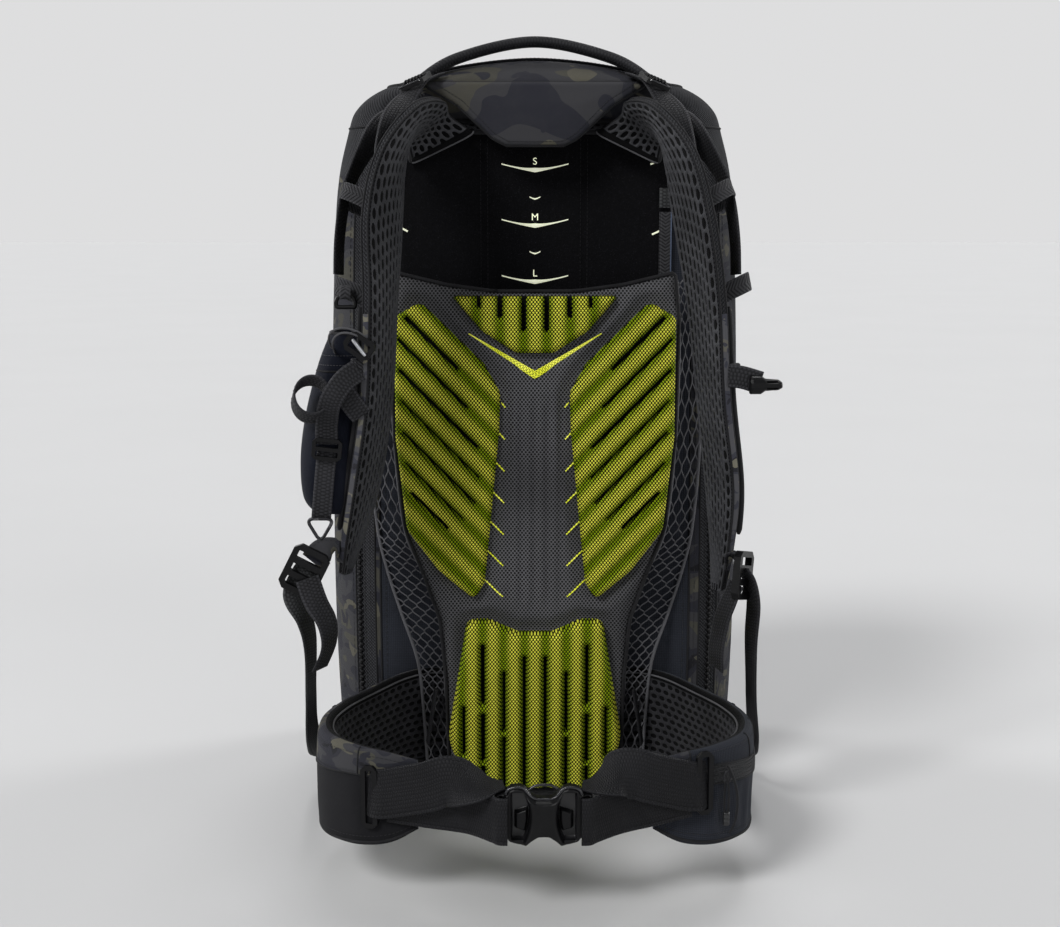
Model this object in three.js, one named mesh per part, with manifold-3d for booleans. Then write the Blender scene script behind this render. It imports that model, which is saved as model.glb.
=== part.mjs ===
// A camera backpack with an open air back panel, straps and a closed hip belt, standing on its base.
// Millimetres, +Z up. The harness faces -Y and +X is on the viewer's right. The origin is the middle
// of the flat base. Depths in the harness tables count from the front face of the back panel.
import * as THREE from "three";
import { mergeVertices } from "three/addons/utils/BufferGeometryUtils.js";
import Module from "manifold-3d";

const wasm = await Module();
wasm.setup();

// Driving dimensions
const CLEAR = 0.35; // gap between pieces that lie on each other
const BAG_BACK = -115; // back wall of the bag
const PANEL_FACE = -150; // front face of the back panel
const BAG_WALL = 6; // padded wall
const BAG_TOP = 600; // rim that the lid sits on
const LID_WALL = 4;
const PANEL_THICK = 10;
const PAD_THICK = 9;
const LUMBAR_THICK = 15;
const BOARD_THICK = 3;
const NET_THICK = 1.6;
const NET_BAR = 3.2; // width of a strand of the net
const BELT_WEB = 38;
const STRAP_WEB = 20;
const CHEST_WEB = 18;
const POUCH_BAND = 16; // webbing on the pouch
const WEB_THICK = 1.8;
const CORNER_STEPS = 3;
const WALL_Y = BAG_BACK - PANEL_FACE; // depth of the bag's back wall behind the panel face

const FABRIC = 0x1b1c1e;
const CAMO = 0x33362f;
const MESH = 0x202122;
const FOAM = 0x8f9a2c;
const WEBBING = 0x17181a;
const PLASTIC = 0x0d0d0e;
const STRETCH = 0x1a1f2b;

// Sections of the bag from the base up: half width, back, front and corner radius.
const BAG_ROWS = [
  { z: 0, half: 158, back: -102, front: 96, corner: 42 },
  { z: 12, half: 174, back: -112, front: 109, corner: 52 },
  { z: 40, half: 181, back: -115, front: 116, corner: 58 },
  { z: 170, half: 184, back: -115, front: 120, corner: 60 },
  { z: 330, half: 183, back: -115, front: 118, corner: 60 },
  { z: 450, half: 182, back: -115, front: 109, corner: 60 },
  { z: 548, half: 178, back: -115, front: 92, corner: 60 },
  { z: BAG_TOP, half: 167, back: -115, front: 78, corner: 60 },
];

// Sections of the lid from its rim to its crown. It leans over the back wall near its top.
const LID_ROWS = [
  { z: BAG_TOP + CLEAR, half: 167, back: -115, front: 78, corner: 60 },
  { z: 615, half: 161, back: -121, front: 71, corner: 60 },
  { z: 628, half: 146, back: -131, front: 58, corner: 60 },
  { z: 638, half: 124, back: -134, front: 46, corner: 60 },
  { z: 648, half: 90, back: -120, front: 28, corner: 55 },
  { z: 655, half: 56, back: -102, front: 4, corner: 40 },
  { z: 659, half: 24, back: -84, front: -28, corner: 22 },
];

// Right half of the back panel from its top edge down, with corner radii.
const PANEL_EDGE = [
  { x: 58, z: 461, r: 90 },
  { x: 119, z: 476, r: 5 },
  { x: 124, z: 436, r: 60 },
  { x: 122, z: 332, r: 80 },
  { x: 114, z: 253, r: 60 },
  { x: 98, z: 212, r: 60 },
  { x: 84, z: 171, r: 60 },
  { x: 79, z: 116, r: 60 },
  { x: 77, z: 40, r: 30 },
  { x: 60, z: 14, r: 16 },
];

// Corners of the pads with their radii.
const SIDE_PAD = [
  { x: 98, z: 452, r: 9 },
  { x: 44, z: 399, r: 16 },
  { x: 30, z: 374, r: 14 },
  { x: 31, z: 340, r: 40 },
  { x: 44, z: 206, r: 8 },
  { x: 53, z: 190, r: 8 },
  { x: 84, z: 216, r: 30 },
  { x: 112, z: 253, r: 20 },
  { x: 121, z: 335, r: 60 },
  { x: 121, z: 439, r: 7 },
];
const TOP_PAD = [
  { x: -69, z: 456, r: 8 },
  { x: 69, z: 456, r: 8 },
  { x: 46, z: 427, r: 12 },
  { x: 16, z: 408, r: 12 },
  { x: -16, z: 408, r: 12 },
  { x: -46, z: 427, r: 12 },
];
const LUMBAR_PAD = [
  { x: -40, z: 173, r: 12 },
  { x: -16, z: 162, r: 12 },
  { x: 16, z: 162, r: 12 },
  { x: 40, z: 173, r: 12 },
  { x: 60, z: 173, r: 10 },
  { x: 78, z: 62, r: 40 },
  { x: 58, z: 18, r: 24 },
  { x: -58, z: 18, r: 24 },
  { x: -78, z: 62, r: 40 },
  { x: -60, z: 173, r: 10 },
];
// Slots in the pads: upper end and length.
const SLOT_WIDTH = 4.4;
const SIDE_SLOTS = [
  { x: 105, z: 436, length: 54 },
  { x: 109, z: 412, length: 78 },
  { x: 110, z: 386, length: 88 },
  { x: 109, z: 360, length: 88 },
  { x: 108, z: 334, length: 82 },
  { x: 106, z: 308, length: 64 },
  { x: 103, z: 283, length: 38 },
];
const TOP_SLOTS = [
  { x: 10, z: 449, length: 27 },
  { x: 30, z: 449, length: 16 },
  { x: 48, z: 449, length: 3 },
];
const LUMBAR_SLOTS = [
  { x: 9, z: 148, length: 110 },
  { x: 27.5, z: 150, length: 114 },
  { x: 46, z: 150, length: 112 },
  { x: 61, z: 104, length: 50 },
];

// Net between the panel's edge and the bag: edge on the panel and edge behind it, by height.
const NET_ROWS = [
  { z: 470, inX: 121.5, outX: 140, outY: 34 },
  { z: 420, inX: 124.5, outX: 143, outY: 34 },
  { z: 332, inX: 122.5, outX: 147, outY: 34 },
  { z: 253, inX: 114.5, outX: 142, outY: 34 },
  { z: 212, inX: 98.5, outX: 134, outY: 34 },
  { z: 171, inX: 84.5, outX: 121, outY: 30 },
  { z: 132, inX: 80.5, outX: 106, outY: 17 },
  { z: 94, inX: 78.6, outX: 101, outY: 12.5 },
  { z: 28, inX: 70, outX: 97, outY: 12.5 },
];
const NET_IN_Y = 7.6; // depth of its edge beside the panel
const NET_SHEET = 34; // width of the net before it is bent
const NET_CELLS = { along: 5, across: 2 };
const NET_PUNCH = 4; // reach of the cut on each face of the sheet

// Shoulder straps: the edge beside the panel, the rim towards the chest, and the padding.
const STRAP_ROOT = [
  { inX: 104, inY: 18, inZ: 570, rimX: 53, rimY: 18, rimZ: 594, pad: 8 },
  { inX: 107, inY: 10, inZ: 584, rimX: 73, rimY: 8, rimZ: 608, pad: 9 },
  { inX: 110, inY: -14, inZ: 587, rimX: 77, rimY: -22, rimZ: 618, pad: 11 },
  { inX: 111, inY: -38, inZ: 574, rimX: 95, rimY: -72, rimZ: 611, pad: 12 },
];
const STRAP_RUN = {
  left: [
    { inX: 111, inY: -52, inZ: 540, rimX: 119, rimY: -106, rimZ: 577, pad: 12 },
    { inX: 113, inY: -57, inZ: 500, rimX: 131, rimY: -115, rimZ: 528, pad: 13 },
    { inX: 117, inY: -58, inZ: 450, rimX: 131, rimY: -117, rimZ: 462, pad: 13 },
    { inX: 122, inY: -55, inZ: 375, rimX: 135, rimY: -113, rimZ: 380, pad: 13 },
    { inX: 133, inY: -50, inZ: 305, rimX: 147, rimY: -100, rimZ: 308, pad: 12 },
    { inX: 147, inY: -54, inZ: 258, rimX: 156, rimY: -86, rimZ: 260, pad: 10 },
    { inX: 156, inY: -64, inZ: 230, rimX: 160, rimY: -78, rimZ: 231, pad: 7 },
  ],
  right: [
    { inX: 113, inY: -52, inZ: 540, rimX: 120, rimY: -106, rimZ: 577, pad: 12 },
    { inX: 120, inY: -57, inZ: 500, rimX: 135, rimY: -115, rimZ: 528, pad: 13 },
    { inX: 129, inY: -58, inZ: 450, rimX: 145, rimY: -117, rimZ: 462, pad: 13 },
    { inX: 138, inY: -55, inZ: 375, rimX: 151, rimY: -113, rimZ: 380, pad: 13 },
    { inX: 146, inY: -50, inZ: 305, rimX: 161, rimY: -100, rimZ: 308, pad: 12 },
    { inX: 150, inY: -54, inZ: 255, rimX: 160, rimY: -86, rimZ: 257, pad: 10 },
    { inX: 150, inY: -64, inZ: 216, rimX: 155, rimY: -78, rimZ: 217, pad: 7 },
  ],
};

// Hip wings from behind the panel to their tips: middle line, top, bottom and padding.
const WING_ROWS = [
  { x: 62, y: 27.5, top: 116, low: 30, pad: 13 },
  { x: 92, y: 26.5, top: 120, low: 32, pad: 14 },
  { x: 118, y: 9, top: 120, low: 34, pad: 16 },
  { x: 143, y: -32, top: 119, low: 36, pad: 17 },
  { x: 162, y: -80, top: 121, low: 38, pad: 18 },
  { x: 169, y: -125, top: 123, low: 40, pad: 18 },
  { x: 161, y: -165, top: 124, low: 41, pad: 18 },
  { x: 138, y: -190, top: 123, low: 43, pad: 17 },
  { x: 112, y: -200, top: 120, low: 48, pad: 13 },
  { x: 90, y: -203, top: 115, low: 60, pad: 8 },
];

// Bands of webbing: middle line, and the heading and rise of the band's width in degrees.
const HANDLE_ROWS = [
  { x: -112, y: 30, z: 620, head: 90, rise: 0 },
  { x: -98, y: 33, z: 639, head: 90, rise: 0 },
  { x: -64, y: 45, z: 660, head: 90, rise: 0 },
  { x: 0, y: 58, z: 674.2, head: 90, rise: 0 },
  { x: 64, y: 45, z: 660, head: 90, rise: 0 },
  { x: 98, y: 33, z: 639, head: 90, rise: 0 },
  { x: 112, y: 30, z: 620, head: 90, rise: 0 },
];
const REAR_STRAP_ROWS = [
  { x: -104, y: 62, z: 634, head: 90, rise: 0 },
  { x: -82, y: 66, z: 650, head: 90, rise: 0 },
  { x: 0, y: 78, z: 661, head: 90, rise: 0 },
  { x: 82, y: 66, z: 650, head: 90, rise: 0 },
  { x: 104, y: 62, z: 634, head: 90, rise: 0 },
];

// Helpers for lofted bodies

function point(x, y, z) {
  return new THREE.Vector3(x, y + PANEL_FACE, z);
}

// Closes rings of points into one body, with the ends capped or joined to each other.
function loft(rings, joined = false) {
  const sides = rings[0].length;
  const flat = rings.flat();
  const positions = flat.flatMap((p) => [p.x, p.y, p.z]);
  const index = [];
  const spans = joined ? rings.length : rings.length - 1;
  for (let i = 0; i < spans; i++) {
    const low = i * sides;
    const high = ((i + 1) % rings.length) * sides;
    for (let k = 0; k < sides; k++) {
      const next = (k + 1) % sides;
      const [a, b, c, d] = [low + k, low + next, high + next, high + k];
      const short = flat[a].distanceTo(flat[c]) <= flat[b].distanceTo(flat[d]);
      index.push(...(short ? [a, b, c, a, c, d] : [a, b, d, b, c, d]));
    }
  }
  if (!joined) {
    [rings[0], rings.at(-1)].forEach((ring, end) => {
      const middle = new THREE.Vector3();
      ring.forEach((p) => middle.addScaledVector(p, 1 / sides));
      const tip = positions.length / 3;
      positions.push(middle.x, middle.y, middle.z);
      const base = end ? (rings.length - 1) * sides : 0;
      for (let k = 0; k < sides; k++) {
        const pair = [base + k, base + ((k + 1) % sides)];
        index.push(tip, ...(end ? pair : pair.reverse()));
      }
    });
  }
  const geometry = new THREE.BufferGeometry();
  geometry.setAttribute("position", new THREE.Float32BufferAttribute(positions, 3));
  geometry.setIndex(index);
  return faceOut(geometry);
}

// Turns every face round where the body's volume comes out negative.
function faceOut(geometry) {
  const p = geometry.attributes.position;
  const index = geometry.index.array;
  const [a, b, c] = [0, 1, 2].map(() => new THREE.Vector3());
  let volume = 0;
  for (let i = 0; i < index.length; i += 3) {
    a.fromBufferAttribute(p, index[i]);
    b.fromBufferAttribute(p, index[i + 1]);
    c.fromBufferAttribute(p, index[i + 2]);
    volume += a.dot(b.cross(c));
  }
  if (volume < 0) geometry.setIndex(Array.from(index).reverse());
  return geometry;
}

// Value of a column at a place along a table, smooth through the rows.
function along(rows, column, at) {
  const i = Math.min(Math.floor(at), rows.length - 2);
  const t = at - i;
  const value = (k) => rows[THREE.MathUtils.clamp(k, 0, rows.length - 1)][column];
  const [before, from, to, after] = [i - 1, i, i + 1, i + 2].map(value);
  const [leave, arrive] = [(to - before) / 2, (after - from) / 2];
  const rise = (2 * from - 2 * to + leave + arrive) * t ** 3;
  return rise + (3 * to - 3 * from - 2 * leave - arrive) * t ** 2 + leave * t + from;
}

// Places along a table, with a number of steps in each span of rows.
function places(rows, steps) {
  const count = (rows.length - 1) * steps;
  return Array.from({ length: count + 1 }, (_, i) => i / steps);
}

// Rectangle with round corners at one height, as a ring of points.
function roundRing({ z, half, back, front, corner }, inset = 0) {
  const r = Math.max(corner - inset, 2);
  const [w, b, f] = [half - inset, back + inset, front - inset];
  const corners = [
    [w - r, f - r],
    [r - w, f - r],
    [r - w, b + r],
    [w - r, b + r],
  ];
  return corners.flatMap(([cx, cy], quarter) =>
    Array.from({ length: CORNER_STEPS + 1 }, (_, k) => {
      const angle = (quarter + k / CORNER_STEPS) * (Math.PI / 2);
      return new THREE.Vector3(cx + r * Math.cos(angle), cy + r * Math.sin(angle), z);
    }),
  );
}

// Oval ring with flattened faces: across and normal are the half axes.
function ovalRing(middle, across, normal, sides, flat = 0.75) {
  return Array.from({ length: sides }, (_, k) => {
    const angle = ((k + 0.5) / sides) * 2 * Math.PI;
    const [u, v] = [Math.cos(angle), Math.sin(angle)].map(
      (value) => Math.sign(value) * Math.abs(value) ** flat,
    );
    return middle.clone().addScaledVector(across, u).addScaledVector(normal, v);
  });
}

// Frames along a table of band rows: place, direction of the width and of the thickness.
function bandFrames(rows, side, steps) {
  const spot = (at) =>
    point(side * along(rows, "x", at), along(rows, "y", at), along(rows, "z", at));
  return places(rows, steps).map((at) => {
    const middle = spot(at);
    const ahead = spot(Math.min(at + 0.02, rows.length - 1));
    const tangent = ahead.sub(spot(Math.max(at - 0.02, 0))).normalize();
    const head = THREE.MathUtils.degToRad(along(rows, "head", at));
    const rise = THREE.MathUtils.degToRad(along(rows, "rise", at));
    const across = new THREE.Vector3(
      side * Math.cos(rise) * Math.cos(head),
      Math.cos(rise) * Math.sin(head),
      Math.sin(rise),
    );
    across.addScaledVector(tangent, -across.dot(tangent)).normalize();
    return { middle, across, normal: tangent.cross(across) };
  });
}

// Flat band of webbing along a table.
function band(rows, { side = 1, width = STRAP_WEB, thick = WEB_THICK, steps = 2, grow = 0 } = {}) {
  const half = width / 2 + grow;
  const deep = thick / 2 + grow;
  const rings = bandFrames(rows, side, steps).map(({ middle, across, normal }) =>
    [[1, 1], [-1, 1], [-1, -1], [1, -1]].map(([u, v]) =>
      middle.clone().addScaledVector(across, u * half).addScaledVector(normal, v * deep),
    ),
  );
  return loft(rings);
}

// Shapes cut from sheet: a polygon with round corners, a rectangle and a slot.
function roundPolygon(corners, mirror = 1) {
  const points = corners.map(({ x, z, r }) => ({ at: new THREE.Vector2(mirror * x, z), r }));
  const shape = new THREE.Shape();
  points.forEach(({ at, r }, i) => {
    const before = points.at(i - 1).at;
    const after = points[(i + 1) % points.length].at;
    const enter = before.clone().sub(at).normalize();
    const leave = after.clone().sub(at).normalize();
    const half = Math.acos(THREE.MathUtils.clamp(enter.dot(leave), -1, 1)) / 2;
    const reach = Math.min(r / Math.tan(half), 0.45 * before.distanceTo(at), 0.45 * after.distanceTo(at));
    const start = at.clone().addScaledVector(enter, reach);
    const end = at.clone().addScaledVector(leave, reach);
    if (i) shape.lineTo(start.x, start.y);
    else shape.moveTo(start.x, start.y);
    shape.quadraticCurveTo(at.x, at.y, end.x, end.y);
  });
  shape.closePath();
  return shape;
}

function rectangle(x0, x1, z0, z1, r) {
  return roundPolygon([
    { x: x0, z: z0, r },
    { x: x1, z: z0, r },
    { x: x1, z: z1, r },
    { x: x0, z: z1, r },
  ]);
}

function slot(x, z, length, width, angle) {
  const path = new THREE.Shape();
  const way = new THREE.Vector2(Math.cos(angle), Math.sin(angle));
  const far = new THREE.Vector2(x, z).addScaledVector(way, length);
  path.absarc(x, z, width / 2, angle + Math.PI / 2, angle + 1.5 * Math.PI);
  path.absarc(far.x, far.y, width / 2, angle - Math.PI / 2, angle + Math.PI / 2);
  path.closePath();
  return path;
}

// Upright plate from a shape in X and Z, with its back at a depth behind the panel face.
function plate(shape, thick, backY, { bevel = 0, grow = 0, segments = 2 } = {}) {
  const geometry = new THREE.ExtrudeGeometry(shape, {
    depth: thick - 2 * bevel,
    bevelEnabled: bevel + grow > 0,
    bevelThickness: bevel,
    bevelSize: bevel,
    bevelOffset: grow - bevel,
    bevelSegments: 1,
    curveSegments: segments,
  });
  geometry.rotateX(Math.PI / 2);
  geometry.translate(0, PANEL_FACE + backY - bevel, 0);
  return geometry;
}

// Helpers for cut bodies

function toSolid(geometry) {
  const bare = geometry.clone();
  bare.deleteAttribute("normal");
  bare.deleteAttribute("uv");
  const merged = mergeVertices(bare, 1e-3);
  return new wasm.Manifold(
    new wasm.Mesh({
      numProp: 3,
      vertProperties: new Float32Array(merged.attributes.position.array),
      triVerts: new Uint32Array(merged.index.array),
    }),
  );
}

function toGeometry(solid) {
  const mesh = solid.getMesh();
  const geometry = new THREE.BufferGeometry();
  geometry.setAttribute("position", new THREE.BufferAttribute(mesh.vertProperties, 3));
  geometry.setIndex(new THREE.BufferAttribute(mesh.triVerts, 1));
  return geometry;
}

// Cuts neighbours out of a body and keeps its largest piece.
function trim(geometry, ...cutters) {
  let solid = toSolid(geometry);
  cutters.forEach((cutter) => {
    solid = solid.subtract(toSolid(cutter));
  });
  const pieces = solid.decompose().sort((a, b) => b.volume() - a.volume());
  return toGeometry(pieces[0]);
}

const backpack = new THREE.Group();

function add(name, geometry, color, roughness = 0.85, metalness = 0) {
  const material = new THREE.MeshStandardMaterial({ color, roughness, metalness });
  const mesh = new THREE.Mesh(geometry, material);
  mesh.name = name;
  backpack.add(mesh);
}

// Bag and lid

function bagBody(grow = 0) {
  const outer = BAG_ROWS.map((row) => roundRing(row, -grow));
  const inner = BAG_ROWS.map((row, i) =>
    roundRing({ ...row, z: i ? row.z : BAG_WALL }, BAG_WALL),
  );
  return loft(grow ? outer : [...outer, ...inner.reverse()]);
}

function lidBody(grow = 0) {
  const outer = LID_ROWS.map((row, i) => roundRing({ ...row, z: row.z + (i ? grow : -grow) }, -grow));
  if (grow) return loft(outer);
  const inner = LID_ROWS.slice(0, -1).map((row, i) =>
    roundRing({ ...row, z: i ? row.z - LID_WALL : row.z }, LID_WALL),
  );
  return loft([...outer.reverse(), ...inner]);
}

add("bag_shell", bagBody(), FABRIC);
add("lid", lidBody(), CAMO);

// Shoulder straps

const STRAP_SIDES = 8;

function strapRows(hand) {
  return [...STRAP_ROOT, ...STRAP_RUN[hand]];
}

// Frame of a strap at a place along its table: middle, rim direction and outward face.
function strapFrame(hand, at) {
  const rows = strapRows(hand);
  const side = hand === "left" ? -1 : 1;
  const edge = (name, place) =>
    point(
      side * along(rows, name + "X", place),
      along(rows, name + "Y", place),
      along(rows, name + "Z", place),
    );
  const middleAt = (place) => edge("in", place).lerp(edge("rim", place), 0.5);
  const middle = middleAt(at);
  const last = rows.length - 1;
  const tangent = middleAt(Math.min(at + 0.05, last)).sub(middleAt(Math.max(at - 0.05, 0)));
  tangent.normalize();
  const across = edge("rim", at).sub(edge("in", at)).multiplyScalar(0.5);
  const out = across.clone().cross(tangent).multiplyScalar(side).normalize();
  return { middle, across, out, pad: along(rows, "pad", at) };
}

function strapBody(hand, grow = 0) {
  const rings = places(strapRows(hand), 2).map((at) => {
    const { middle, across, out, pad } = strapFrame(hand, at);
    const wide = across.clone().setLength(across.length() + grow);
    return ovalRing(middle, wide, out.clone().multiplyScalar(pad / 2 + grow), STRAP_SIDES);
  });
  return loft(rings);
}

const straps = {};
["left", "right"].forEach((hand) => {
  straps[hand] = strapBody(hand, CLEAR);
  add("shoulder_strap_" + hand, strapBody(hand), MESH);
});

// Lid tongue, board behind the harness and the yoke that carries the strap roots

const TONGUE = [
  { x: 100, z: 638, r: 4 },
  { x: 50, z: 611, r: 30 },
  { x: 34, z: 597, r: 20 },
  { x: 24, z: 583, r: 7 },
];
const TONGUE_THICK = 4;
const TONGUE_LEAN = 0.26; // depth gained for each millimetre of height
const TONGUE_BACK = 1.5; // depth of its back at the lower edge

function bothHalves(corners) {
  return [...corners, ...corners.map(({ x, z, r }) => ({ x: -x, z, r })).reverse()];
}

function tongueBody(grow = 0) {
  const shape = roundPolygon(bothHalves(TONGUE));
  const flat = plate(shape, TONGUE_THICK + 2 * grow, TONGUE_BACK + grow, { grow });
  const lean = new THREE.Matrix4().makeShear(0, 0, 0, 0, 0, TONGUE_LEAN);
  flat.applyMatrix4(lean);
  return flat.translate(0, -TONGUE_LEAN * TONGUE.at(-1).z, 0);
}

const BOARD = { half: 118, low: 430, top: 598, corner: 8 };
const YOKE = { half: 107, low: 566, top: 604, corner: 10, thick: 9.4 };
const STAY_THICK = 3.4;
// Sleeve of the stay with the wider tab at its head.
const STAY = [
  { x: 108.5, z: 440, r: 2 },
  { x: 118.5, z: 440, r: 2 },
  { x: 118.5, z: 529, r: 1 },
  { x: 120.5, z: 531, r: 1 },
  { x: 120.5, z: 549, r: 2 },
  { x: 107.5, z: 549, r: 2 },
  { x: 107.5, z: 531, r: 1 },
  { x: 108.5, z: 529, r: 1 },
];
const boardBack = WALL_Y - CLEAR;
const boardFront = boardBack - BOARD_THICK - CLEAR;

add("lid_tongue", trim(tongueBody(), lidBody(CLEAR), straps.left, straps.right), CAMO);
add(
  "back_board",
  plate(rectangle(-BOARD.half, BOARD.half, BOARD.low, BOARD.top, BOARD.corner), BOARD_THICK, boardBack),
  FABRIC,
);
const yoke = plate(rectangle(-YOKE.half, YOKE.half, YOKE.low, YOKE.top, YOKE.corner), YOKE.thick, boardFront);
add("yoke", trim(yoke, straps.left, straps.right), MESH);
add("stay_sleeve", plate(roundPolygon(STAY), STAY_THICK, boardFront), WEBBING);

// Back panel, its pads and the nets at its sides

const panelShape = roundPolygon(bothHalves(PANEL_EDGE));
const PAD_BEVEL = 2.5;
const LUMBAR_BEVEL = 3;

const WING = { sides: 10, flat: 0.5 };

function wingBody(side, grow = 0) {
  const rings = places(WING_ROWS, 2).map((at) => {
    const spot = (place) => point(side * along(WING_ROWS, "x", place), along(WING_ROWS, "y", place), 0);
    const [top, low] = [along(WING_ROWS, "top", at), along(WING_ROWS, "low", at)];
    const way = spot(Math.min(at + 0.05, WING_ROWS.length - 1)).sub(spot(Math.max(at - 0.05, 0)));
    const out = new THREE.Vector3(way.y, -way.x, 0).setLength(along(WING_ROWS, "pad", at) / 2 + grow);
    const middle = spot(at).setZ((top + low) / 2);
    return ovalRing(middle, new THREE.Vector3(0, 0, (top - low) / 2 + grow), out, WING.sides, WING.flat);
  });
  return loft(rings);
}

// Place on the bent sheet of the net: place in its table, share of its width, and lift off its middle.
function netSpot(side, at, share, lift) {
  const edge = (name, y) => point(side * along(NET_ROWS, name + "X", at), y, along(NET_ROWS, "z", at));
  const from = edge("in", NET_IN_Y);
  const across = edge("out", along(NET_ROWS, "outY", at)).sub(from);
  const normal = new THREE.Vector3(across.y, -across.x, 0).setLength(lift);
  return from.addScaledVector(across, share).add(normal);
}

// Net between the panel's edge and the bag: a bent sheet with diamonds cut through it.
function netBody(side) {
  const last = NET_ROWS.length - 1;
  const cell = (NET_ROWS[0].z - NET_ROWS[last].z) / NET_CELLS.along;
  const deep = (NET_SHEET - 2 * NET_BAR) / NET_CELLS.across;
  const skew = Math.hypot(cell, deep) / 2;
  const reach = (0.5 - (NET_BAR * skew) / (deep * cell)) * (last / NET_CELLS.along);
  const gap = (deep / 2 - (NET_BAR * skew) / cell) / NET_SHEET;
  const ring = (corners, lift) => corners.map(([at, share]) => netSpot(side, at, share, lift));
  const half = NET_THICK / 2;
  const section = (at) => [...ring([[at, 0], [at, 1]], -half), ...ring([[at, 1], [at, 0]], half)];
  const holes = [];
  for (let row = 0; row < 2 * NET_CELLS.along - 1; row++) {
    const between = row % 2;
    for (let k = 0; k < NET_CELLS.across - between; k++) {
      const at = ((row + 1) * last) / (2 * NET_CELLS.along);
      const share = (NET_BAR + (k + 0.5 + between / 2) * deep) / NET_SHEET;
      const diamond = [[at - reach, share], [at, share + gap], [at + reach, share], [at, share - gap]];
      holes.push(loft([ring(diamond, -NET_PUNCH), ring(diamond, NET_PUNCH)]));
    }
  }
  return trim(loft(places(NET_ROWS, 1).map(section)), ...holes);
}

function padWithSlots(shape, slots, thick, bevel, mirrors, angle) {
  const cuts = mirrors.flatMap((mirror) =>
    slots.map(({ x, z, length }) => {
      const way = mirror > 0 ? angle : Math.PI - angle;
      return plate(slot(mirror * x, z, length, SLOT_WIDTH, way), 3 * thick, thick, { segments: 1 });
    }),
  );
  return trim(plate(shape, thick, -CLEAR, { bevel }), ...cuts);
}

const DOWN = -Math.PI / 2;
const DOWN_IN = -0.75 * Math.PI;
add("back_panel", plate(panelShape, PANEL_THICK, PANEL_THICK), MESH);
add(
  "back_pad_top",
  padWithSlots(roundPolygon(TOP_PAD), TOP_SLOTS, PAD_THICK, PAD_BEVEL, [1, -1], DOWN),
  FOAM,
);
add(
  "lumbar_pad",
  padWithSlots(roundPolygon(LUMBAR_PAD), LUMBAR_SLOTS, LUMBAR_THICK, LUMBAR_BEVEL, [1, -1], DOWN),
  FOAM,
);
const panelGrown = plate(panelShape, PANEL_THICK + 2 * CLEAR, PANEL_THICK + CLEAR, { grow: CLEAR });
const wings = {};
[["left", -1], ["right", 1]].forEach(([hand, side]) => {
  const shape = roundPolygon(SIDE_PAD, side);
  add("back_pad_" + hand, padWithSlots(shape, SIDE_SLOTS, PAD_THICK, PAD_BEVEL, [side], DOWN_IN), FOAM);
  wings[hand] = wingBody(side, CLEAR);
  add("hip_wing_" + hand, wingBody(side), FABRIC);
  add("side_net_" + hand, trim(netBody(side), panelGrown, wings[hand]), MESH);
});

// Handles on the lid

const HANDLE = { half: 12, deep: 4.8, sides: 8, flat: 0.8 };

function handleBody() {
  const rings = bandFrames(HANDLE_ROWS, 1, 2).map(({ middle, across, normal }) => {
    const wide = across.multiplyScalar(HANDLE.half);
    return ovalRing(middle, wide, normal.multiplyScalar(HANDLE.deep), HANDLE.sides, HANDLE.flat);
  });
  return loft(rings);
}

const lidGrown = lidBody(CLEAR);
const tongueGrown = tongueBody(CLEAR);
const rearStrap = band(REAR_STRAP_ROWS, { width: CHEST_WEB });
add("haul_handle", trim(handleBody(), lidGrown), WEBBING);
add("rear_handle_strap", trim(rearStrap, lidGrown), WEBBING);

// Buckles: a plate with windows, set on a band or turned into place

const WINDOW_CORNER = 0.5;

// Centred on the origin, with its width along X, height along Z and thickness along Y.
function buckleBody({ wide, high, thick, bar, bars }, grow = 0) {
  const upright = (shape, deep, swell) =>
    plate(shape, deep, 0, { grow: swell, segments: 1 }).translate(0, deep / 2 - PANEL_FACE, 0);
  const window = (high - bar * bars) / (bars - 1);
  const cuts = Array.from({ length: bars - 1 }, (_, k) => {
    const low = -high / 2 + bar + k * (window + bar) + grow;
    const half = wide / 2 - bar - grow;
    return upright(rectangle(-half, half, low, low + window - 2 * grow, WINDOW_CORNER), 2 * thick, 0);
  });
  const body = upright(rectangle(-wide / 2, wide / 2, -high / 2, high / 2, bar), thick + 2 * grow, grow);
  return trim(body, ...cuts);
}

// Lays a buckle on a band at one of its frames, on the side that faces the viewer.
function setOn(geometry, { middle, across, normal }, lift) {
  const face = normal.clone().multiplyScalar(normal.y > 0 ? 1 : -1);
  const up = across.clone().cross(face);
  const basis = new THREE.Matrix4().makeBasis(across, face, up);
  const spot = middle.clone().addScaledVector(face, -lift);
  return geometry.applyMatrix4(basis.setPosition(spot));
}

function turned(geometry, spot, { roll = 0, heading = 0 }) {
  geometry.rotateY(THREE.MathUtils.degToRad(roll));
  geometry.rotateZ(THREE.MathUtils.degToRad(heading));
  return geometry.translate(spot.x, spot.y, spot.z);
}

// Load lifters from the lid to the straps, their buckles, tails and the elastic keepers

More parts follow.
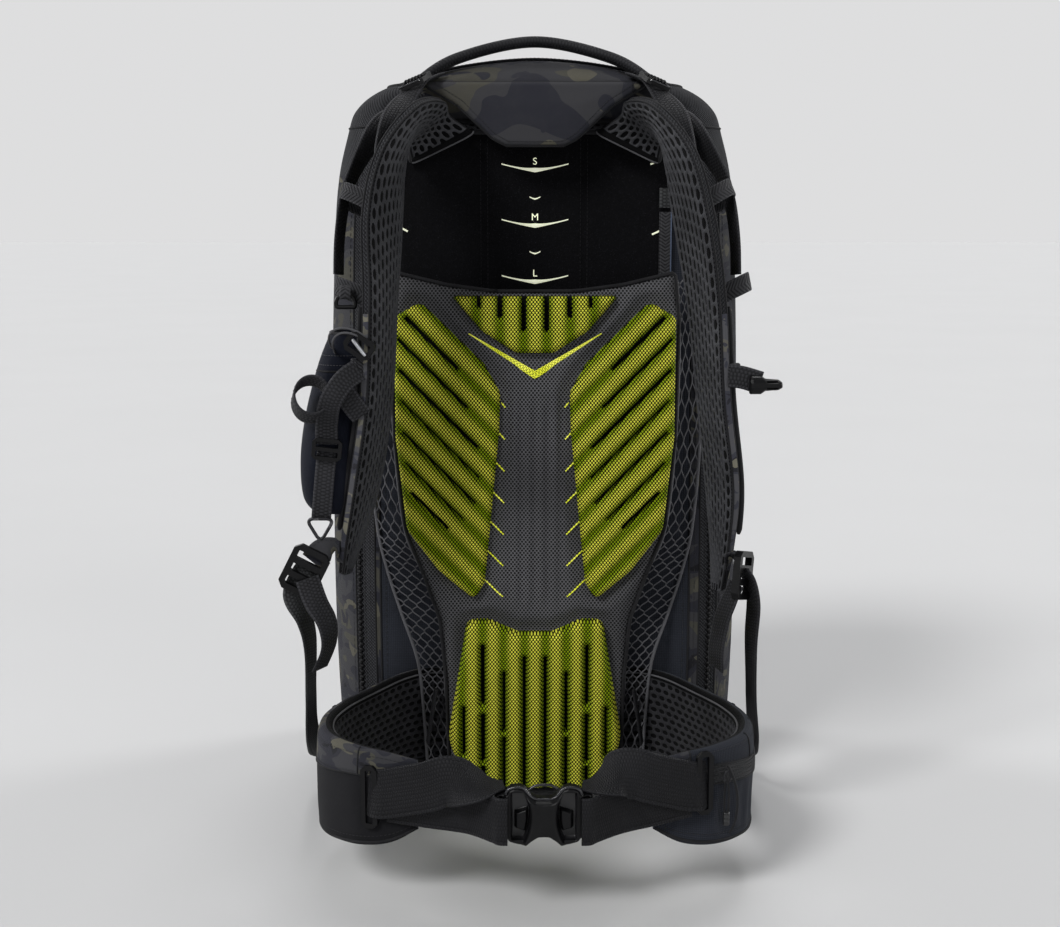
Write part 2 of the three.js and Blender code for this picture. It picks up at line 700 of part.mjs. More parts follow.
const LIFTER_ROWS = [
  { x: 84, y: 24, z: 641, head: 0, rise: -28 },
  { x: 98, y: -4, z: 632, head: 0, rise: -28 },
  { x: 112, y: -27, z: 612, head: -20, rise: -12 },
  { x: 123, y: -50, z: 586, head: -60, rise: 15 },
  { x: 126, y: -69, z: 566, head: -80, rise: 32 },
  { x: 119, y: -79, z: 553, head: -82, rise: 34 },
];
const TAIL_ROWS = [
  { x: 106, y: 2, z: 621, head: 0, rise: -28 },
  { x: 131, y: -32, z: 592, head: -45, rise: 0 },
  { x: 147, y: -62, z: 558, head: -75, rise: 25 },
  { x: 153.5, y: -73, z: 534, head: -75, rise: 28 },
  { x: 157, y: -79, z: 505, head: -75, rise: 20 },
  { x: 158, y: -81, z: 478, head: -75, rise: 15 },
];
const LIFTER_BUCKLE = { wide: 26, high: 20, thick: 4, bar: 3, bars: 3 };
const LIFTER_BEND = 0.8; // rise of the bent lifter under its flat buckle
const KEEPER = { wide: 13, deep: 16, high: 15, wall: 1.6, sides: 8, sink: 0.9, flat: 0.6 };
const KEEPER_PLACES = { upper: 4.6, lower: 5.9 };
const RIGHT_TAIL_SHIFT = 3; // the right tail lies further out

function keeperBody(hand, at, grow = 0) {
  const { middle, across, out, pad } = strapFrame(hand, at);
  const wide = across.clone().normalize();
  const way = wide.clone().cross(out).normalize();
  const centre = middle.clone().addScaledVector(out, pad / 2 + CLEAR + KEEPER.deep - KEEPER.sink);
  const ring = (step, inset) => {
    const spot = centre.clone().addScaledVector(way, step);
    const half = wide.clone().multiplyScalar(KEEPER.wide - inset);
    return ovalRing(spot, half, out.clone().multiplyScalar(KEEPER.deep - inset), KEEPER.sides, KEEPER.flat);
  };
  const step = KEEPER.high / 2 + grow;
  const inner = KEEPER.wall + grow;
  return loft([ring(-step, -grow), ring(step, -grow), ring(step, inner), ring(-step, inner)], true);
}

[["left", -1], ["right", 1]].forEach(([hand, side]) => {
  const frame = bandFrames(LIFTER_ROWS, side, 1)[1];
  const lift = (WEB_THICK + LIFTER_BUCKLE.thick) / 2 + CLEAR + LIFTER_BEND;
  const lifter = trim(band(LIFTER_ROWS, { side }), lidGrown, tongueGrown, straps[hand]);
  add("load_lifter_" + hand, lifter, WEBBING);
  add("lifter_buckle_" + hand, setOn(buckleBody(LIFTER_BUCKLE), frame, lift), PLASTIC, 0.35);
  const keepers = Object.entries(KEEPER_PLACES).map(([name, at]) => {
    add("keeper_" + name + "_" + hand, keeperBody(hand, at), WEBBING);
    return keeperBody(hand, at, CLEAR);
  });
  const shift = (i) => (side > 0 && i > 1 ? RIGHT_TAIL_SHIFT : 0);
  const shifted = TAIL_ROWS.map((row, i) => ({ ...row, x: row.x + shift(i) }));
  add("lifter_tail_" + hand, trim(band(shifted, { side }), keepers[0]), WEBBING);
});

// Chest strap: rails on the strap rims, sliders, webbing and buckles

const RAIL = { from: 6.1, to: 8.8, steps: 4, rim: 0.8, lift: 8.2, radius: 2.6, sides: 6 };
const SLIDER = { left: 6.7, right: 6.75, wide: 10, deep: 6, high: 17, flat: 0.5 };

function railRing(hand, at, radius, step = 0) {
  const { middle, across, out } = strapFrame(hand, at);
  const spot = middle.clone().addScaledVector(across, RAIL.rim).addScaledVector(out, RAIL.lift);
  const wide = across.clone().normalize();
  spot.addScaledVector(wide.clone().cross(out), step);
  const [u, v] = [wide, out].map((way) => way.clone().multiplyScalar(radius));
  return { spot, wide, out, ring: ovalRing(spot, u, v, RAIL.sides, 1) };
}

function railBody(hand, grow = 0) {
  const steps = Array.from({ length: RAIL.steps + 1 }, (_, i) => i / RAIL.steps);
  const at = (t) => THREE.MathUtils.lerp(RAIL.from, RAIL.to, t);
  return loft(steps.map((t) => railRing(hand, at(t), RAIL.radius + grow).ring));
}

function sliderBody(hand, grow = 0) {
  const outer = (step) => {
    const { spot, wide, out } = railRing(hand, SLIDER[hand], RAIL.radius, step);
    const half = wide.multiplyScalar(SLIDER.wide + grow);
    return ovalRing(spot, half, out.multiplyScalar(SLIDER.deep + grow), RAIL.sides, SLIDER.flat);
  };
  const half = SLIDER.high / 2 + grow;
  return loft([outer(-half), outer(half)]);
}

["left", "right"].forEach((hand) => {
  add("chest_rail_" + hand, trim(railBody(hand), straps[hand]), WEBBING);
  add("chest_slider_" + hand, trim(sliderBody(hand), straps[hand], railBody(hand, CLEAR)), WEBBING);
});

// Chest webbing: on the left a strip, a loop and a folded end, on the right a short strip and a buckle

const CHEST_LEFT_ROWS = [
  { x: -139, y: -118.4, z: 405, head: 0, rise: -72 },
  { x: -150, y: -123.5, z: 397, head: 0, rise: -52 },
  { x: -161, y: -122, z: 381, head: 0, rise: -28 },
  { x: -166, y: -111, z: 362, head: 0, rise: -6 },
  { x: -167, y: -104.5, z: 344, head: 0, rise: 0 },
];
const CHEST_TAB_ROWS = [
  { x: -138, y: -112, z: 368, head: 0, rise: 30 },
  { x: -146, y: -115.5, z: 379, head: 0, rise: 30 },
  { x: -153, y: -118, z: 390, head: 0, rise: 30 },
];
const CHEST_TAB_THICK = 4; // folded end
const CHEST_RIGHT_ROWS = [
  { x: 153, y: -116, z: 400, head: 0, rise: 84 },
  { x: 163, y: -119, z: 399, head: 0, rise: 80 },
  { x: 177, y: -121, z: 395, head: 0, rise: 76 },
];
const LOOP = { x: -178, y: -112, z: 381, long: 15, high: 16, width: CHEST_WEB, turn: 52, steps: 10 };
const CHEST_CLIP = { wide: 24, high: 17, thick: 7, bar: 4, bars: 2 };
const CHEST_CLIP_SPOT = { x: -138, y: -120.2, z: 424, roll: 35 };
const CHEST_BUCKLE = { from: 168, to: 194, low: 386, top: 401, thick: 9, back: -121, corner: 3 };

// Loop of webbing round an oval, its width turned towards the viewer.
function loopBody() {
  const turn = THREE.MathUtils.degToRad(LOOP.turn);
  const wide = new THREE.Vector3(0.4 * Math.cos(turn), -Math.sin(turn), 0.9 * Math.cos(turn));
  wide.setLength(LOOP.width / 2);
  const ring = (side, inset) =>
    Array.from({ length: LOOP.steps }, (_, k) => {
      const angle = (k / LOOP.steps) * 2 * Math.PI;
      const x = LOOP.x + (LOOP.long - inset) * Math.cos(angle);
      const z = LOOP.z + (LOOP.high - inset) * Math.sin(angle);
      return point(x, LOOP.y, z).addScaledVector(wide, side);
    });
  return loft([ring(-1, 0), ring(1, 0), ring(1, WEB_THICK), ring(-1, WEB_THICK)], true);
}

// Stretch pouch on the outer face of the left strap: a sleeve with an open top

const POUCH_ROWS = [
  { z: 284, x: -167, wide: 15, deep: 15 },
  { z: 297, x: -170, wide: 21, deep: 22 },
  { z: 330, x: -167, wide: 25, deep: 26 },
  { z: 370, x: -162, wide: 25, deep: 26 },
  { z: 405, x: -155, wide: 22, deep: 23 },
  { z: 432, x: -149, wide: 17, deep: 19 },
];
const POUCH_Y = -76;
const POUCH_WALL = 2;
const POUCH_SIDES = 8;
const POUCH_FLAT = 0.9;

function pouchBody(grow = 0) {
  const ring = ({ z, x, wide, deep }, inset) => {
    const half = new THREE.Vector3(wide - inset, 0, 0);
    const reach = new THREE.Vector3(0, deep - inset, 0);
    return ovalRing(point(x, POUCH_Y, z), half, reach, POUCH_SIDES, POUCH_FLAT);
  };
  const outer = POUCH_ROWS.map((row) => ring(row, -grow));
  if (grow) return loft(outer);
  const inner = POUCH_ROWS.map((row, i) => ring({ ...row, z: i ? row.z : row.z + POUCH_WALL }, POUCH_WALL));
  return loft([...outer, ...inner.reverse()]);
}

const POUCH_WEB_ROWS = [
  { x: -167, y: -102.6, z: 340, head: 0, rise: 0 },
  { x: -170, y: -101.2, z: 315, head: 0, rise: 0 },
  { x: -173, y: -97.4, z: 290, head: 0, rise: 0 },
  { x: -174, y: -96.4, z: 282, head: 0, rise: 0 },
];
const POUCH_SLIDE = { wide: 24, high: 18, thick: 3.6, bar: 3, bars: 3 };
const POUCH_HOOK = { wide: 26, high: 24, thick: 3, bar: 3, bars: 2 };
const HOOK_SPOT = { x: -174.5, y: -99.4, z: 273 };

const loop = loopBody();
const pouch = pouchBody(CLEAR);
const pouchFrames = bandFrames(POUCH_WEB_ROWS, 1, 1);
const slideLift = (WEB_THICK + POUCH_SLIDE.thick) / 2 + CLEAR;
const slide = setOn(buckleBody(POUCH_SLIDE), pouchFrames[0], slideLift);
const slideGrown = setOn(buckleBody(POUCH_SLIDE, CLEAR), pouchFrames[0], slideLift);
const chestLeft = band(CHEST_LEFT_ROWS, { width: CHEST_WEB });
const chestLeftGrown = band(CHEST_LEFT_ROWS, { width: CHEST_WEB, grow: CLEAR });
const chestTab = band(CHEST_TAB_ROWS, { width: CHEST_WEB, thick: CHEST_TAB_THICK });
const clipSpot = point(CHEST_CLIP_SPOT.x, CHEST_CLIP_SPOT.y, CHEST_CLIP_SPOT.z);
const clip = turned(buckleBody(CHEST_CLIP), clipSpot, { roll: CHEST_CLIP_SPOT.roll });
const sliders = { left: sliderBody("left", CLEAR), right: sliderBody("right", CLEAR) };
add("strap_pouch", trim(pouchBody(), straps.left, railBody("left", CLEAR)), STRETCH);
add("chest_web_left", trim(chestLeft, sliders.left, pouch, slideGrown), WEBBING);
add("chest_loop", trim(loop, chestLeftGrown, pouch), WEBBING);
add("chest_tab", trim(chestTab, chestLeftGrown, pouch, straps.left, railBody("left", CLEAR)), WEBBING);
add("chest_clip_left", trim(clip, sliders.left, straps.left, chestLeftGrown), PLASTIC, 0.3);
const chestRight = band(CHEST_RIGHT_ROWS, { width: CHEST_WEB });
add("chest_web_right", trim(chestRight, sliders.right, straps.right), WEBBING);
const chestBuckle = plate(
  rectangle(CHEST_BUCKLE.from, CHEST_BUCKLE.to, CHEST_BUCKLE.low, CHEST_BUCKLE.top, CHEST_BUCKLE.corner),
  CHEST_BUCKLE.thick,
  CHEST_BUCKLE.back,
);
add(
  "chest_buckle_right",
  trim(chestBuckle, band(CHEST_RIGHT_ROWS, { width: CHEST_WEB, grow: CLEAR })),
  PLASTIC,
  0.3,
);
add("pouch_web", trim(band(POUCH_WEB_ROWS, { width: POUCH_BAND }), pouch), WEBBING);
add("pouch_slide", slide, PLASTIC, 0.3);
const hookSpot = point(HOOK_SPOT.x, HOOK_SPOT.y, HOOK_SPOT.z);
add("pouch_hook", turned(buckleBody(POUCH_HOOK), hookSpot, {}), PLASTIC, 0.3, 0.4);

// Strap ends: a tab, a ladder lock, the webbing to the base of the bag and its loose tail

const LOCK = { wide: 32, high: 40, thick: 6, bar: 5, bars: 4 };
const ENDS = {
  left: {
    side: -1,
    lock: { x: 190, y: -88, z: 236, roll: 27 },
    tab: [
      { x: 156, y: -73, z: 246, head: -60, rise: 0 },
      { x: 166, y: -79, z: 252, head: -30, rise: 20 },
      { x: 176, y: -83, z: 252, head: 0, rise: 28 },
      { x: 184, y: -83.5, z: 243, head: 0, rise: 28 },
    ],
    web: [
      { x: 193, y: -83.5, z: 232, head: 0, rise: 28 },
      { x: 199, y: -82, z: 214, head: -20, rise: 20 },
      { x: 192, y: -76, z: 192, head: -60, rise: 5 },
      { x: 190, y: -62, z: 165, head: -70, rise: 0 },
      { x: 194, y: -38, z: 115, head: -75, rise: 0 },
      { x: 198, y: -4, z: 66, head: -70, rise: 0 },
      { x: 194, y: 40, z: 36, head: -60, rise: 20 },
      { x: 178, y: 66, z: 26, head: -60, rise: 30 },
    ],
    tail: [
      { x: 187, y: -93.2, z: 231, head: 0, rise: 28 },
      { x: 180, y: -96, z: 212, head: -20, rise: 10 },
      { x: 171, y: -97, z: 195, head: -45, rise: 0 },
      { x: 170, y: -95, z: 175, head: -60, rise: 0 },
      { x: 179, y: -88, z: 153, head: -60, rise: 0 },
    ],
  },
  right: {
    side: 1,
    lock: { x: 171, y: -86, z: 232, roll: -12, heading: 62 },
    tab: [
      { x: 157, y: -74, z: 240, head: -70, rise: 0 },
      { x: 163, y: -81, z: 246, head: -80, rise: 10 },
      { x: 168, y: -87, z: 242, head: -62, rise: 5 },
    ],
    web: [
      { x: 176.5, y: -84, z: 228, head: -62, rise: 0 },
      { x: 181, y: -82, z: 208, head: -66, rise: 0 },
      { x: 182, y: -66, z: 170, head: -70, rise: 0 },
      { x: 187, y: -40, z: 115, head: -75, rise: 0 },
      { x: 194, y: -4, z: 66, head: -70, rise: 0 },
      { x: 192, y: 40, z: 36, head: -60, rise: 20 },
      { x: 178, y: 66, z: 26, head: -60, rise: 30 },
    ],
    tail: [
      { x: 165.5, y: -90, z: 226, head: -62, rise: 0 },
      { x: 160, y: -90, z: 212, head: -62, rise: 0 },
      { x: 155, y: -84, z: 195, head: -62, rise: 0 },
      { x: 152, y: -74, z: 168, head: -62, rise: 0 },
      { x: 153, y: -66, z: 148, head: -62, rise: 0 },
    ],
  },
};

const bagGrown = bagBody(CLEAR);
Object.entries(ENDS).forEach(([hand, { side, lock, tab, web, tail }]) => {
  const place = (grow) =>
    turned(buckleBody(LOCK, grow), point(side * lock.x, lock.y, lock.z), {
      roll: -side * lock.roll,
      heading: side * (lock.heading ?? 0),
    });
  const lockGrown = place(CLEAR);
  const webGrown = band(web, { side, grow: CLEAR });
  add("adjuster_lock_" + hand, place(0), PLASTIC, 0.3);
  add("adjuster_tab_" + hand, trim(band(tab, { side }), straps[hand], lockGrown), WEBBING);
  add("adjuster_web_" + hand, trim(band(web, { side }), lockGrown, bagGrown, wings[hand]), WEBBING);
  add("adjuster_tail_" + hand, trim(band(tail, { side }), lockGrown, straps[hand], webGrown), WEBBING);
});

// Hip belt: slot rings on the wing tips, webbing in two layers and the closed buckle

const TIP_RING = { wide: 14, high: 50, thick: 3, bar: 4, bars: 2 };
const TIPS = {
  left: { side: -1, x: 127, y: -204, z: 86, heading: 21 },
  right: { side: 1, x: 129, y: -204, z: 97, heading: 21 },
};
const BELT_ROWS = {
  left: {
    upper: [
      { x: -130, y: -206.3, z: 89, head: 90, rise: 88 },
      { x: -112, y: -213, z: 95, head: 90, rise: 86 },
      { x: -86, y: -223, z: 102, head: 90, rise: 78 },
      { x: -60, y: -230, z: 102, head: 90, rise: 66 },
      { x: -40, y: -236, z: 92, head: 90, rise: 52 },
      { x: -28, y: -240, z: 85, head: 90, rise: 46 },
    ],
    lower: [
      { x: -108, y: -211, z: 84, head: -90, rise: 90 },
      { x: -80, y: -216, z: 82, head: -90, rise: 90 },
      { x: -52, y: -222, z: 81, head: -90, rise: 90 },
      { x: -27, y: -229, z: 80, head: -90, rise: 90 },
    ],
  },
  right: {
    upper: [
      { x: 132, y: -206.3, z: 100, head: 90, rise: 88 },
      { x: 114, y: -213, z: 106, head: 90, rise: 86 },
      { x: 92, y: -223, z: 112, head: 90, rise: 78 },
      { x: 74, y: -230, z: 108, head: 90, rise: 66 },
      { x: 60, y: -236, z: 95, head: 90, rise: 52 },
      { x: 51, y: -240, z: 86, head: 90, rise: 46 },
    ],
    lower: [
      { x: 114, y: -211, z: 92, head: -90, rise: 90 },
      { x: 92, y: -216, z: 86, head: -90, rise: 90 },
      { x: 72, y: -222, z: 82, head: -90, rise: 90 },
      { x: 51, y: -229, z: 80, head: -90, rise: 90 },
    ],
  },
};
const BUCKLE_X = 12;
const BUCKLE_Z = 80;
const BUCKLE_BACK = -228;
const BUCKLE_THICK = 14;
// Half of the buckle, from its middle to its webbing bar.
const BUCKLE_HALF = [
  { x: 0.2, z: 20, r: 3 },
  { x: 26, z: 24, r: 6 },
  { x: 45, z: 21, r: 4 },
  { x: 45, z: -21, r: 4 },
  { x: 26, z: -24, r: 6 },
  { x: 0.2, z: -20, r: 3 },
  { x: 0.2, z: -8, r: 2 },
  { x: 8, z: 0, r: 5 },
  { x: 0.2, z: 8, r: 2 },
];
const BUCKLE_SLOT = { from: 36, to: 40, half: 19.5 };

function beltBuckle(side, grow = 0) {
  const corners = BUCKLE_HALF.map(({ x, z, r }) => ({ x: side * x + BUCKLE_X, z: z + BUCKLE_Z, r }));
  const size = { grow, segments: 1 };
  const body = plate(roundPolygon(corners), BUCKLE_THICK + 2 * grow, BUCKLE_BACK + grow, size);
  const { from, to, half } = BUCKLE_SLOT;
  const [x0, x1] = [side * from + BUCKLE_X, side * to + BUCKLE_X];
  const window = rectangle(x0, x1, BUCKLE_Z - half, BUCKLE_Z + half, WINDOW_CORNER);
  return trim(body, plate(window, 3 * BUCKLE_THICK, BUCKLE_BACK + BUCKLE_THICK));
}

Object.entries(TIPS).forEach(([hand, { side, x, y, z, heading }]) => {
  const ring = (grow) =>
    turned(buckleBody(TIP_RING, grow), point(side * x, y, z), { heading: side * heading });
  const buckle = beltBuckle(side, CLEAR);
  const { upper, lower } = BELT_ROWS[hand];
  const web = (rows, grow = 0) => band(rows, { width: BELT_WEB, grow });
  add("tip_ring_" + hand, trim(ring(0), wings[hand]), PLASTIC, 0.3);
  add("belt_upper_" + hand, trim(web(upper), ring(CLEAR), wings[hand], buckle), WEBBING);
  add("belt_lower_" + hand, trim(web(lower), web(upper, CLEAR), wings[hand], buckle), WEBBING);
  add(side < 0 ? "belt_buckle_socket" : "belt_buckle_plug", beltBuckle(side), PLASTIC, 0.3);
});

// Zip pull on the right wing

const ZIP_PULL = { from: 143.5, to: 150, low: 60, top: 108, thick: 3, back: -197.3, corner: 2 };
const zipPull = plate(
  rectangle(ZIP_PULL.from, ZIP_PULL.to, ZIP_PULL.low, ZIP_PULL.top, ZIP_PULL.corner),
  ZIP_PULL.thick,
  ZIP_PULL.back,
);
add("wing_zip_pull", trim(zipPull, wings.right), PLASTIC, 0.4, 0.3);

export default backpack;
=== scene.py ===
import math

import bpy
import numpy as np
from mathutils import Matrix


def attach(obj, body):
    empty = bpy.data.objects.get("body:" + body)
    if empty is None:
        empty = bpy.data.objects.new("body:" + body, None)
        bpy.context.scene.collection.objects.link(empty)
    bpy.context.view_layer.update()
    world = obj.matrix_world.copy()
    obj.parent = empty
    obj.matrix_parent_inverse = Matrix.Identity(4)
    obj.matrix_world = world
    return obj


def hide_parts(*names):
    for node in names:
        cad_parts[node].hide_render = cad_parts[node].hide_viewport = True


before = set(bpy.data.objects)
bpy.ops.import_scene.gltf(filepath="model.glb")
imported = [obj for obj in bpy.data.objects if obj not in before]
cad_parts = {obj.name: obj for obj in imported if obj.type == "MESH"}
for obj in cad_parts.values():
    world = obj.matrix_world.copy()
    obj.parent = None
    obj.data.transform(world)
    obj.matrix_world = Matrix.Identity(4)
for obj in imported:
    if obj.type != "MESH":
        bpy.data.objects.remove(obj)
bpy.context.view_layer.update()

scene = bpy.context.scene
print("frame loaded")

# Tables are in millimetres. Depth y counts from the front face of the back panel, as in the part's source.
panelDepth = -150.0


def toRow(points):
    return (np.asarray(points, float) + (0, panelDepth, 0)) / 1000


def link(obj):
    scene.collection.objects.link(obj)
    return obj


# Camera, floor and lights

look = {"lens": 53.2, "sensor": 36, "place": (-4.3, -1347, 525), "tilt": 9, "aim": (0, -0.1, 0.35),
        "floor": 30.0, "horizon": (0.73, 0.73, 0.735), "zenith": (0.20, 0.205, 0.215), "fade": (0.14, 0.5)}
# wide soft suns, each with the place it shines from
lamps = [
    {"name": "keyLamp", "place": (-1.2, -1.5, 2.0), "soft": 18, "power": 2.3},
    {"name": "fillLamp", "place": (1.5, -1.8, 1.1), "soft": 35, "power": 0.55},
    {"name": "topLamp", "place": (0.1, 0.9, 2.4), "soft": 25, "power": 1.3},
    {"name": "rimLampRight", "place": (1.8, 0.9, 1.0), "soft": 18, "power": 1.7},
    {"name": "rimLampLeft", "place": (-1.8, 0.8, 1.0), "soft": 18, "power": 1.7},
]


def aim(obj, target):
    x, y, z = np.asarray(target, float) - np.asarray(obj.location)
    obj.rotation_euler = (math.pi / 2 + math.atan2(z, math.hypot(x, y)), 0, math.atan2(y, x) - math.pi / 2)


def setStage():
    lens = bpy.data.cameras.new("camera")
    lens.lens, lens.sensor_width = look["lens"], look["sensor"]
    camera = link(bpy.data.objects.new("camera", lens))
    camera.location = toRow(look["place"])
    camera.rotation_euler = (math.radians(90 - look["tilt"]), 0, 0)
    scene.camera = camera
    for lamp in lamps:
        data = bpy.data.lights.new(lamp["name"], "SUN")
        data.angle, data.energy = math.radians(lamp["soft"]), lamp["power"]
        light = link(bpy.data.objects.new(lamp["name"], data))
        light.location = lamp["place"]
        aim(light, look["aim"])
    scene.world = skyFinish()
    scene.view_settings.view_transform = "Standard"
    half = look["floor"]
    mesh = bpy.data.meshes.new("floor")
    corners = [(-half, -half, 0), (half, -half, 0), (half, half, 0), (-half, half, 0)]
    mesh.from_pydata(corners, [], [(0, 1, 2, 3)])
    mesh.materials.append(floorFinish())
    link(bpy.data.objects.new("floor", mesh))


# Finishes: a wire is one shader socket with maths on it, and a finish is one material


class Wire:
    def __init__(self, finish, socket):
        self.finish, self.socket = finish, socket

    def math(self, kind, first, second=0.0):
        return self.finish.node("ShaderNodeMath", {"operation": kind}, {0: first, 1: second})

    def __add__(self, other):
        return self.math("ADD", self, other)

    def __radd__(self, other):
        return self.math("ADD", other, self)

    def __sub__(self, other):
        return self.math("SUBTRACT", self, other)

    def __rsub__(self, other):
        return self.math("SUBTRACT", other, self)

    def __mul__(self, other):
        return self.math("MULTIPLY", self, other)

    def __rmul__(self, other):
        return self.math("MULTIPLY", other, self)

    def __truediv__(self, other):
        return self.math("DIVIDE", self, other)

    def __rtruediv__(self, other):
        return self.math("DIVIDE", other, self)

    def __mod__(self, other):
        return self.math("FLOORED_MODULO", self, other)

    def sin(self):
        return self.math("SINE", self)

    def abs(self):
        return self.math("ABSOLUTE", self)

    def floor(self):
        return self.math("FLOOR", self)

    def root(self):
        return self.math("SQRT", self)

    def atMost(self, other):
        return self.math("MINIMUM", self, other)

    def between(self, low, high):
        # 0 below low, 1 above high, smooth between
        return self.finish.node("ShaderNodeMapRange", {"interpolation_type": "SMOOTHSTEP"},
                                {"Value": self, "From Min": low, "From Max": high})


class Finish:
    def __init__(self, name, kind=bpy.data.materials, shader="Principled BSDF", **sockets):
        self.material = kind.new(name)
        self.material.use_nodes = True
        self.tree = self.material.node_tree
        self.shader = self.tree.nodes[shader]
        for label, value in sockets.items():
            self.shader.inputs[label.replace("_", " ")].default_value = value

    def node(self, kind, settings, sockets, out=0):
        made = self.tree.nodes.new(kind)
        for label, value in settings.items():
            if label == "stops":
                while len(made.color_ramp.elements) < len(value):
                    made.color_ramp.elements.new(0.5)
                for stop, (place, color) in zip(made.color_ramp.elements, value):
                    stop.position, stop.color = place, (*color, 1)
            elif label == "spread":
                made.color_ramp.interpolation = value
            else:
                setattr(made, label, value)
        for label, value in sockets.items():
            if isinstance(value, Wire):
                self.tree.links.new(value.socket, made.inputs[label])
            else:
                made.inputs[label].default_value = value
        return Wire(self, made.outputs[out])

    def feed(self, label, wire):
        self.tree.links.new(wire.socket, self.shader.inputs[label])

    # coordinates over the cloth in centimetres: across or round, and along
    def cloth(self):
        uv = self.node("ShaderNodeUVMap", {"uv_map": "cloth"}, {})
        return [self.node("ShaderNodeSeparateXYZ", {}, {0: uv}, out) for out in ("X", "Y")]

    # place in the frame in metres
    def spot(self):
        spot = self.node("ShaderNodeTexCoord", {}, {}, "Object")
        return [self.node("ShaderNodeSeparateXYZ", {}, {0: spot}, out) for out in ("X", "Y", "Z")]

    def noise(self, scale, detail=3.0, rough=0.5, warp=0.0, stretch=(1, 1, 1)):
        spot = self.node("ShaderNodeTexCoord", {}, {}, "Object")
        place = self.node("ShaderNodeMapping", {}, {"Vector": spot, "Scale": stretch})
        return self.node("ShaderNodeTexNoise", {}, {"Vector": place, "Scale": scale, "Detail": detail,
                                                    "Roughness": rough, "Distortion": warp})

    def mix(self, share, first, second):
        paint = lambda c: c if isinstance(c, Wire) else (*c, 1)
        sockets = {0: share, 6: paint(first), 7: paint(second)}
        return self.node("ShaderNodeMix", {"data_type": "RGBA"}, sockets, 2)

    def bump(self, height, distance, strength=1.0):
        sockets = {"Height": height, "Distance": distance, "Strength": strength}
        self.feed("Normal", self.node("ShaderNodeBump", {}, sockets))


# backdrop: pale like the floor at the horizon, darker above
def skyFinish():
    f = Finish("studio", bpy.data.worlds, "Background")
    way = f.node("ShaderNodeTexCoord", {}, {}, "Generated")
    up = f.node("ShaderNodeSeparateXYZ", {}, {0: way}, "Z")
    low, high = look["fade"]
    rise = f.node("ShaderNodeMapRange", {}, {"Value": up, "From Min": low, "From Max": high})
    f.feed("Color", f.mix(rise, look["horizon"], look["zenith"]))
    return f.material


def floorFinish():
    f = Finish("paleFloor", Roughness=0.75)
    shade = f.noise(2.0, 4)
    f.feed("Base Color", f.mix(shade.between(0.3, 0.7), (0.456, 0.456, 0.458), (0.464, 0.464, 0.466)))
    f.bump(f.noise(140, 2), 0.0004, 0.1)
    return f.material


# plain weave: threads over and under each other, pitch in centimetres
def weave(f, pitch):
    u, v = f.cloth()
    a, b = u / pitch * math.pi, v / pitch * math.pi
    return (a.sin() * b.sin()).abs() * 0.7 + (a * 2).sin().abs() * 0.15 + (b * 2).sin().abs() * 0.15


def wovenCloth(name, color, lighter, pitch, depth=0.00035, rough=0.85):
    f = Finish(name, Roughness=rough, Specular_IOR_Level=0.07, Sheen_Weight=0.02, Sheen_Roughness=0.4)
    threads = weave(f, pitch)
    fade = f.noise(14, 4, 0.6).between(0.3, 0.75)
    # the cloth is coloured lighter where its threads stand up: painted highlight on the weave, with random
    # tone mixed in
    f.feed("Base Color", f.mix(threads * 0.75 + fade * 0.25, color, lighter))
    f.bump(threads + f.noise(900, 1) * 0.3, depth)
    return f.material


def twillCloth(name, color, lighter, pitch=0.3):
    # small knots in slanted rows, coloured lighter where they stand up as painted highlight
    f = Finish(name, Roughness=0.85, Specular_IOR_Level=0.07, Sheen_Weight=0.02, Sheen_Roughness=0.4)
    u, v = f.cloth()
    cords = ((u + v) / pitch * math.pi).sin().abs()
    weft = ((u - v) / pitch * math.pi).sin().abs()
    height = cords * (0.35 + weft * 0.65)
    fade = f.noise(30, 3, 0.6).between(0.3, 0.75)
    f.feed("Base Color", f.mix(height * 0.8 + fade * 0.2, color, lighter))
    f.bump(height, 0.0006)
    return f.material


# tones of the camo, and where each begins on the widest noise
camoTones = {
    "ground": (0.034, 0.034, 0.037),
    "slate": (0.019, 0.0195, 0.025),
    "earth": (0.050, 0.048, 0.039),
    "beige": (0.076, 0.072, 0.055),
    "night": (0.010, 0.010, 0.012),
}
camoStops = [(0.0, "night"), (0.36, "slate"), (0.47, "ground"), (0.60, "earth"), (0.68, "slate")]


def camoCloth(name, pitch, lift, size):
    f = Finish(name, Roughness=0.82, Specular_IOR_Level=0.07, Sheen_Weight=0.02, Sheen_Roughness=0.45)
    tone = {k: tuple(lift * c for c in v) for k, v in camoTones.items()}
    wide = f.noise(11 / size, 1.5, 0.45, 0.6, (1, 1, 1.7))
    stops = [(place, tone[key]) for place, key in camoStops]
    color = f.node("ShaderNodeValToRGB", {"spread": "CONSTANT", "stops": stops}, {"Fac": wide})
    spots = f.noise(17 / size, 1.5, 0.45, 0.7, (1.0, 1.0, 1.5)).between(0.625, 0.635)
    color = f.mix(spots, color, tone["beige"])
    dark = f.noise(26 / size, 1.5, 0.5, 0.4, (1.2, 1, 0.8)).between(0.635, 0.645)
    color = f.mix(dark, color, tone["slate"])
    threads = weave(f, pitch)
    worn = f.noise(45, 4, 0.7).between(0.35, 0.75)
    color = f.mix(worn * 0.25, color, tone["ground"])
    f.feed("Base Color", f.mix(threads * 0.4, color, (0.004, 0.004, 0.005)))
    f.bump(threads, 0.00025)
    return f.material


# staggered round dots, 1 inside a dot, pitch in centimetres and rows squashed closer
def dots(f, pitch, size, squash=0.62):
    u, v = f.cloth()
    row = (v / (pitch * squash)).floor()
    a = (u / pitch + row % 2 * 0.5) % 1 - 0.5
    b = ((v / (pitch * squash)) % 1 - 0.5) * squash
    return 1 - (a * a + b * b).root().between(size * 0.8, size)


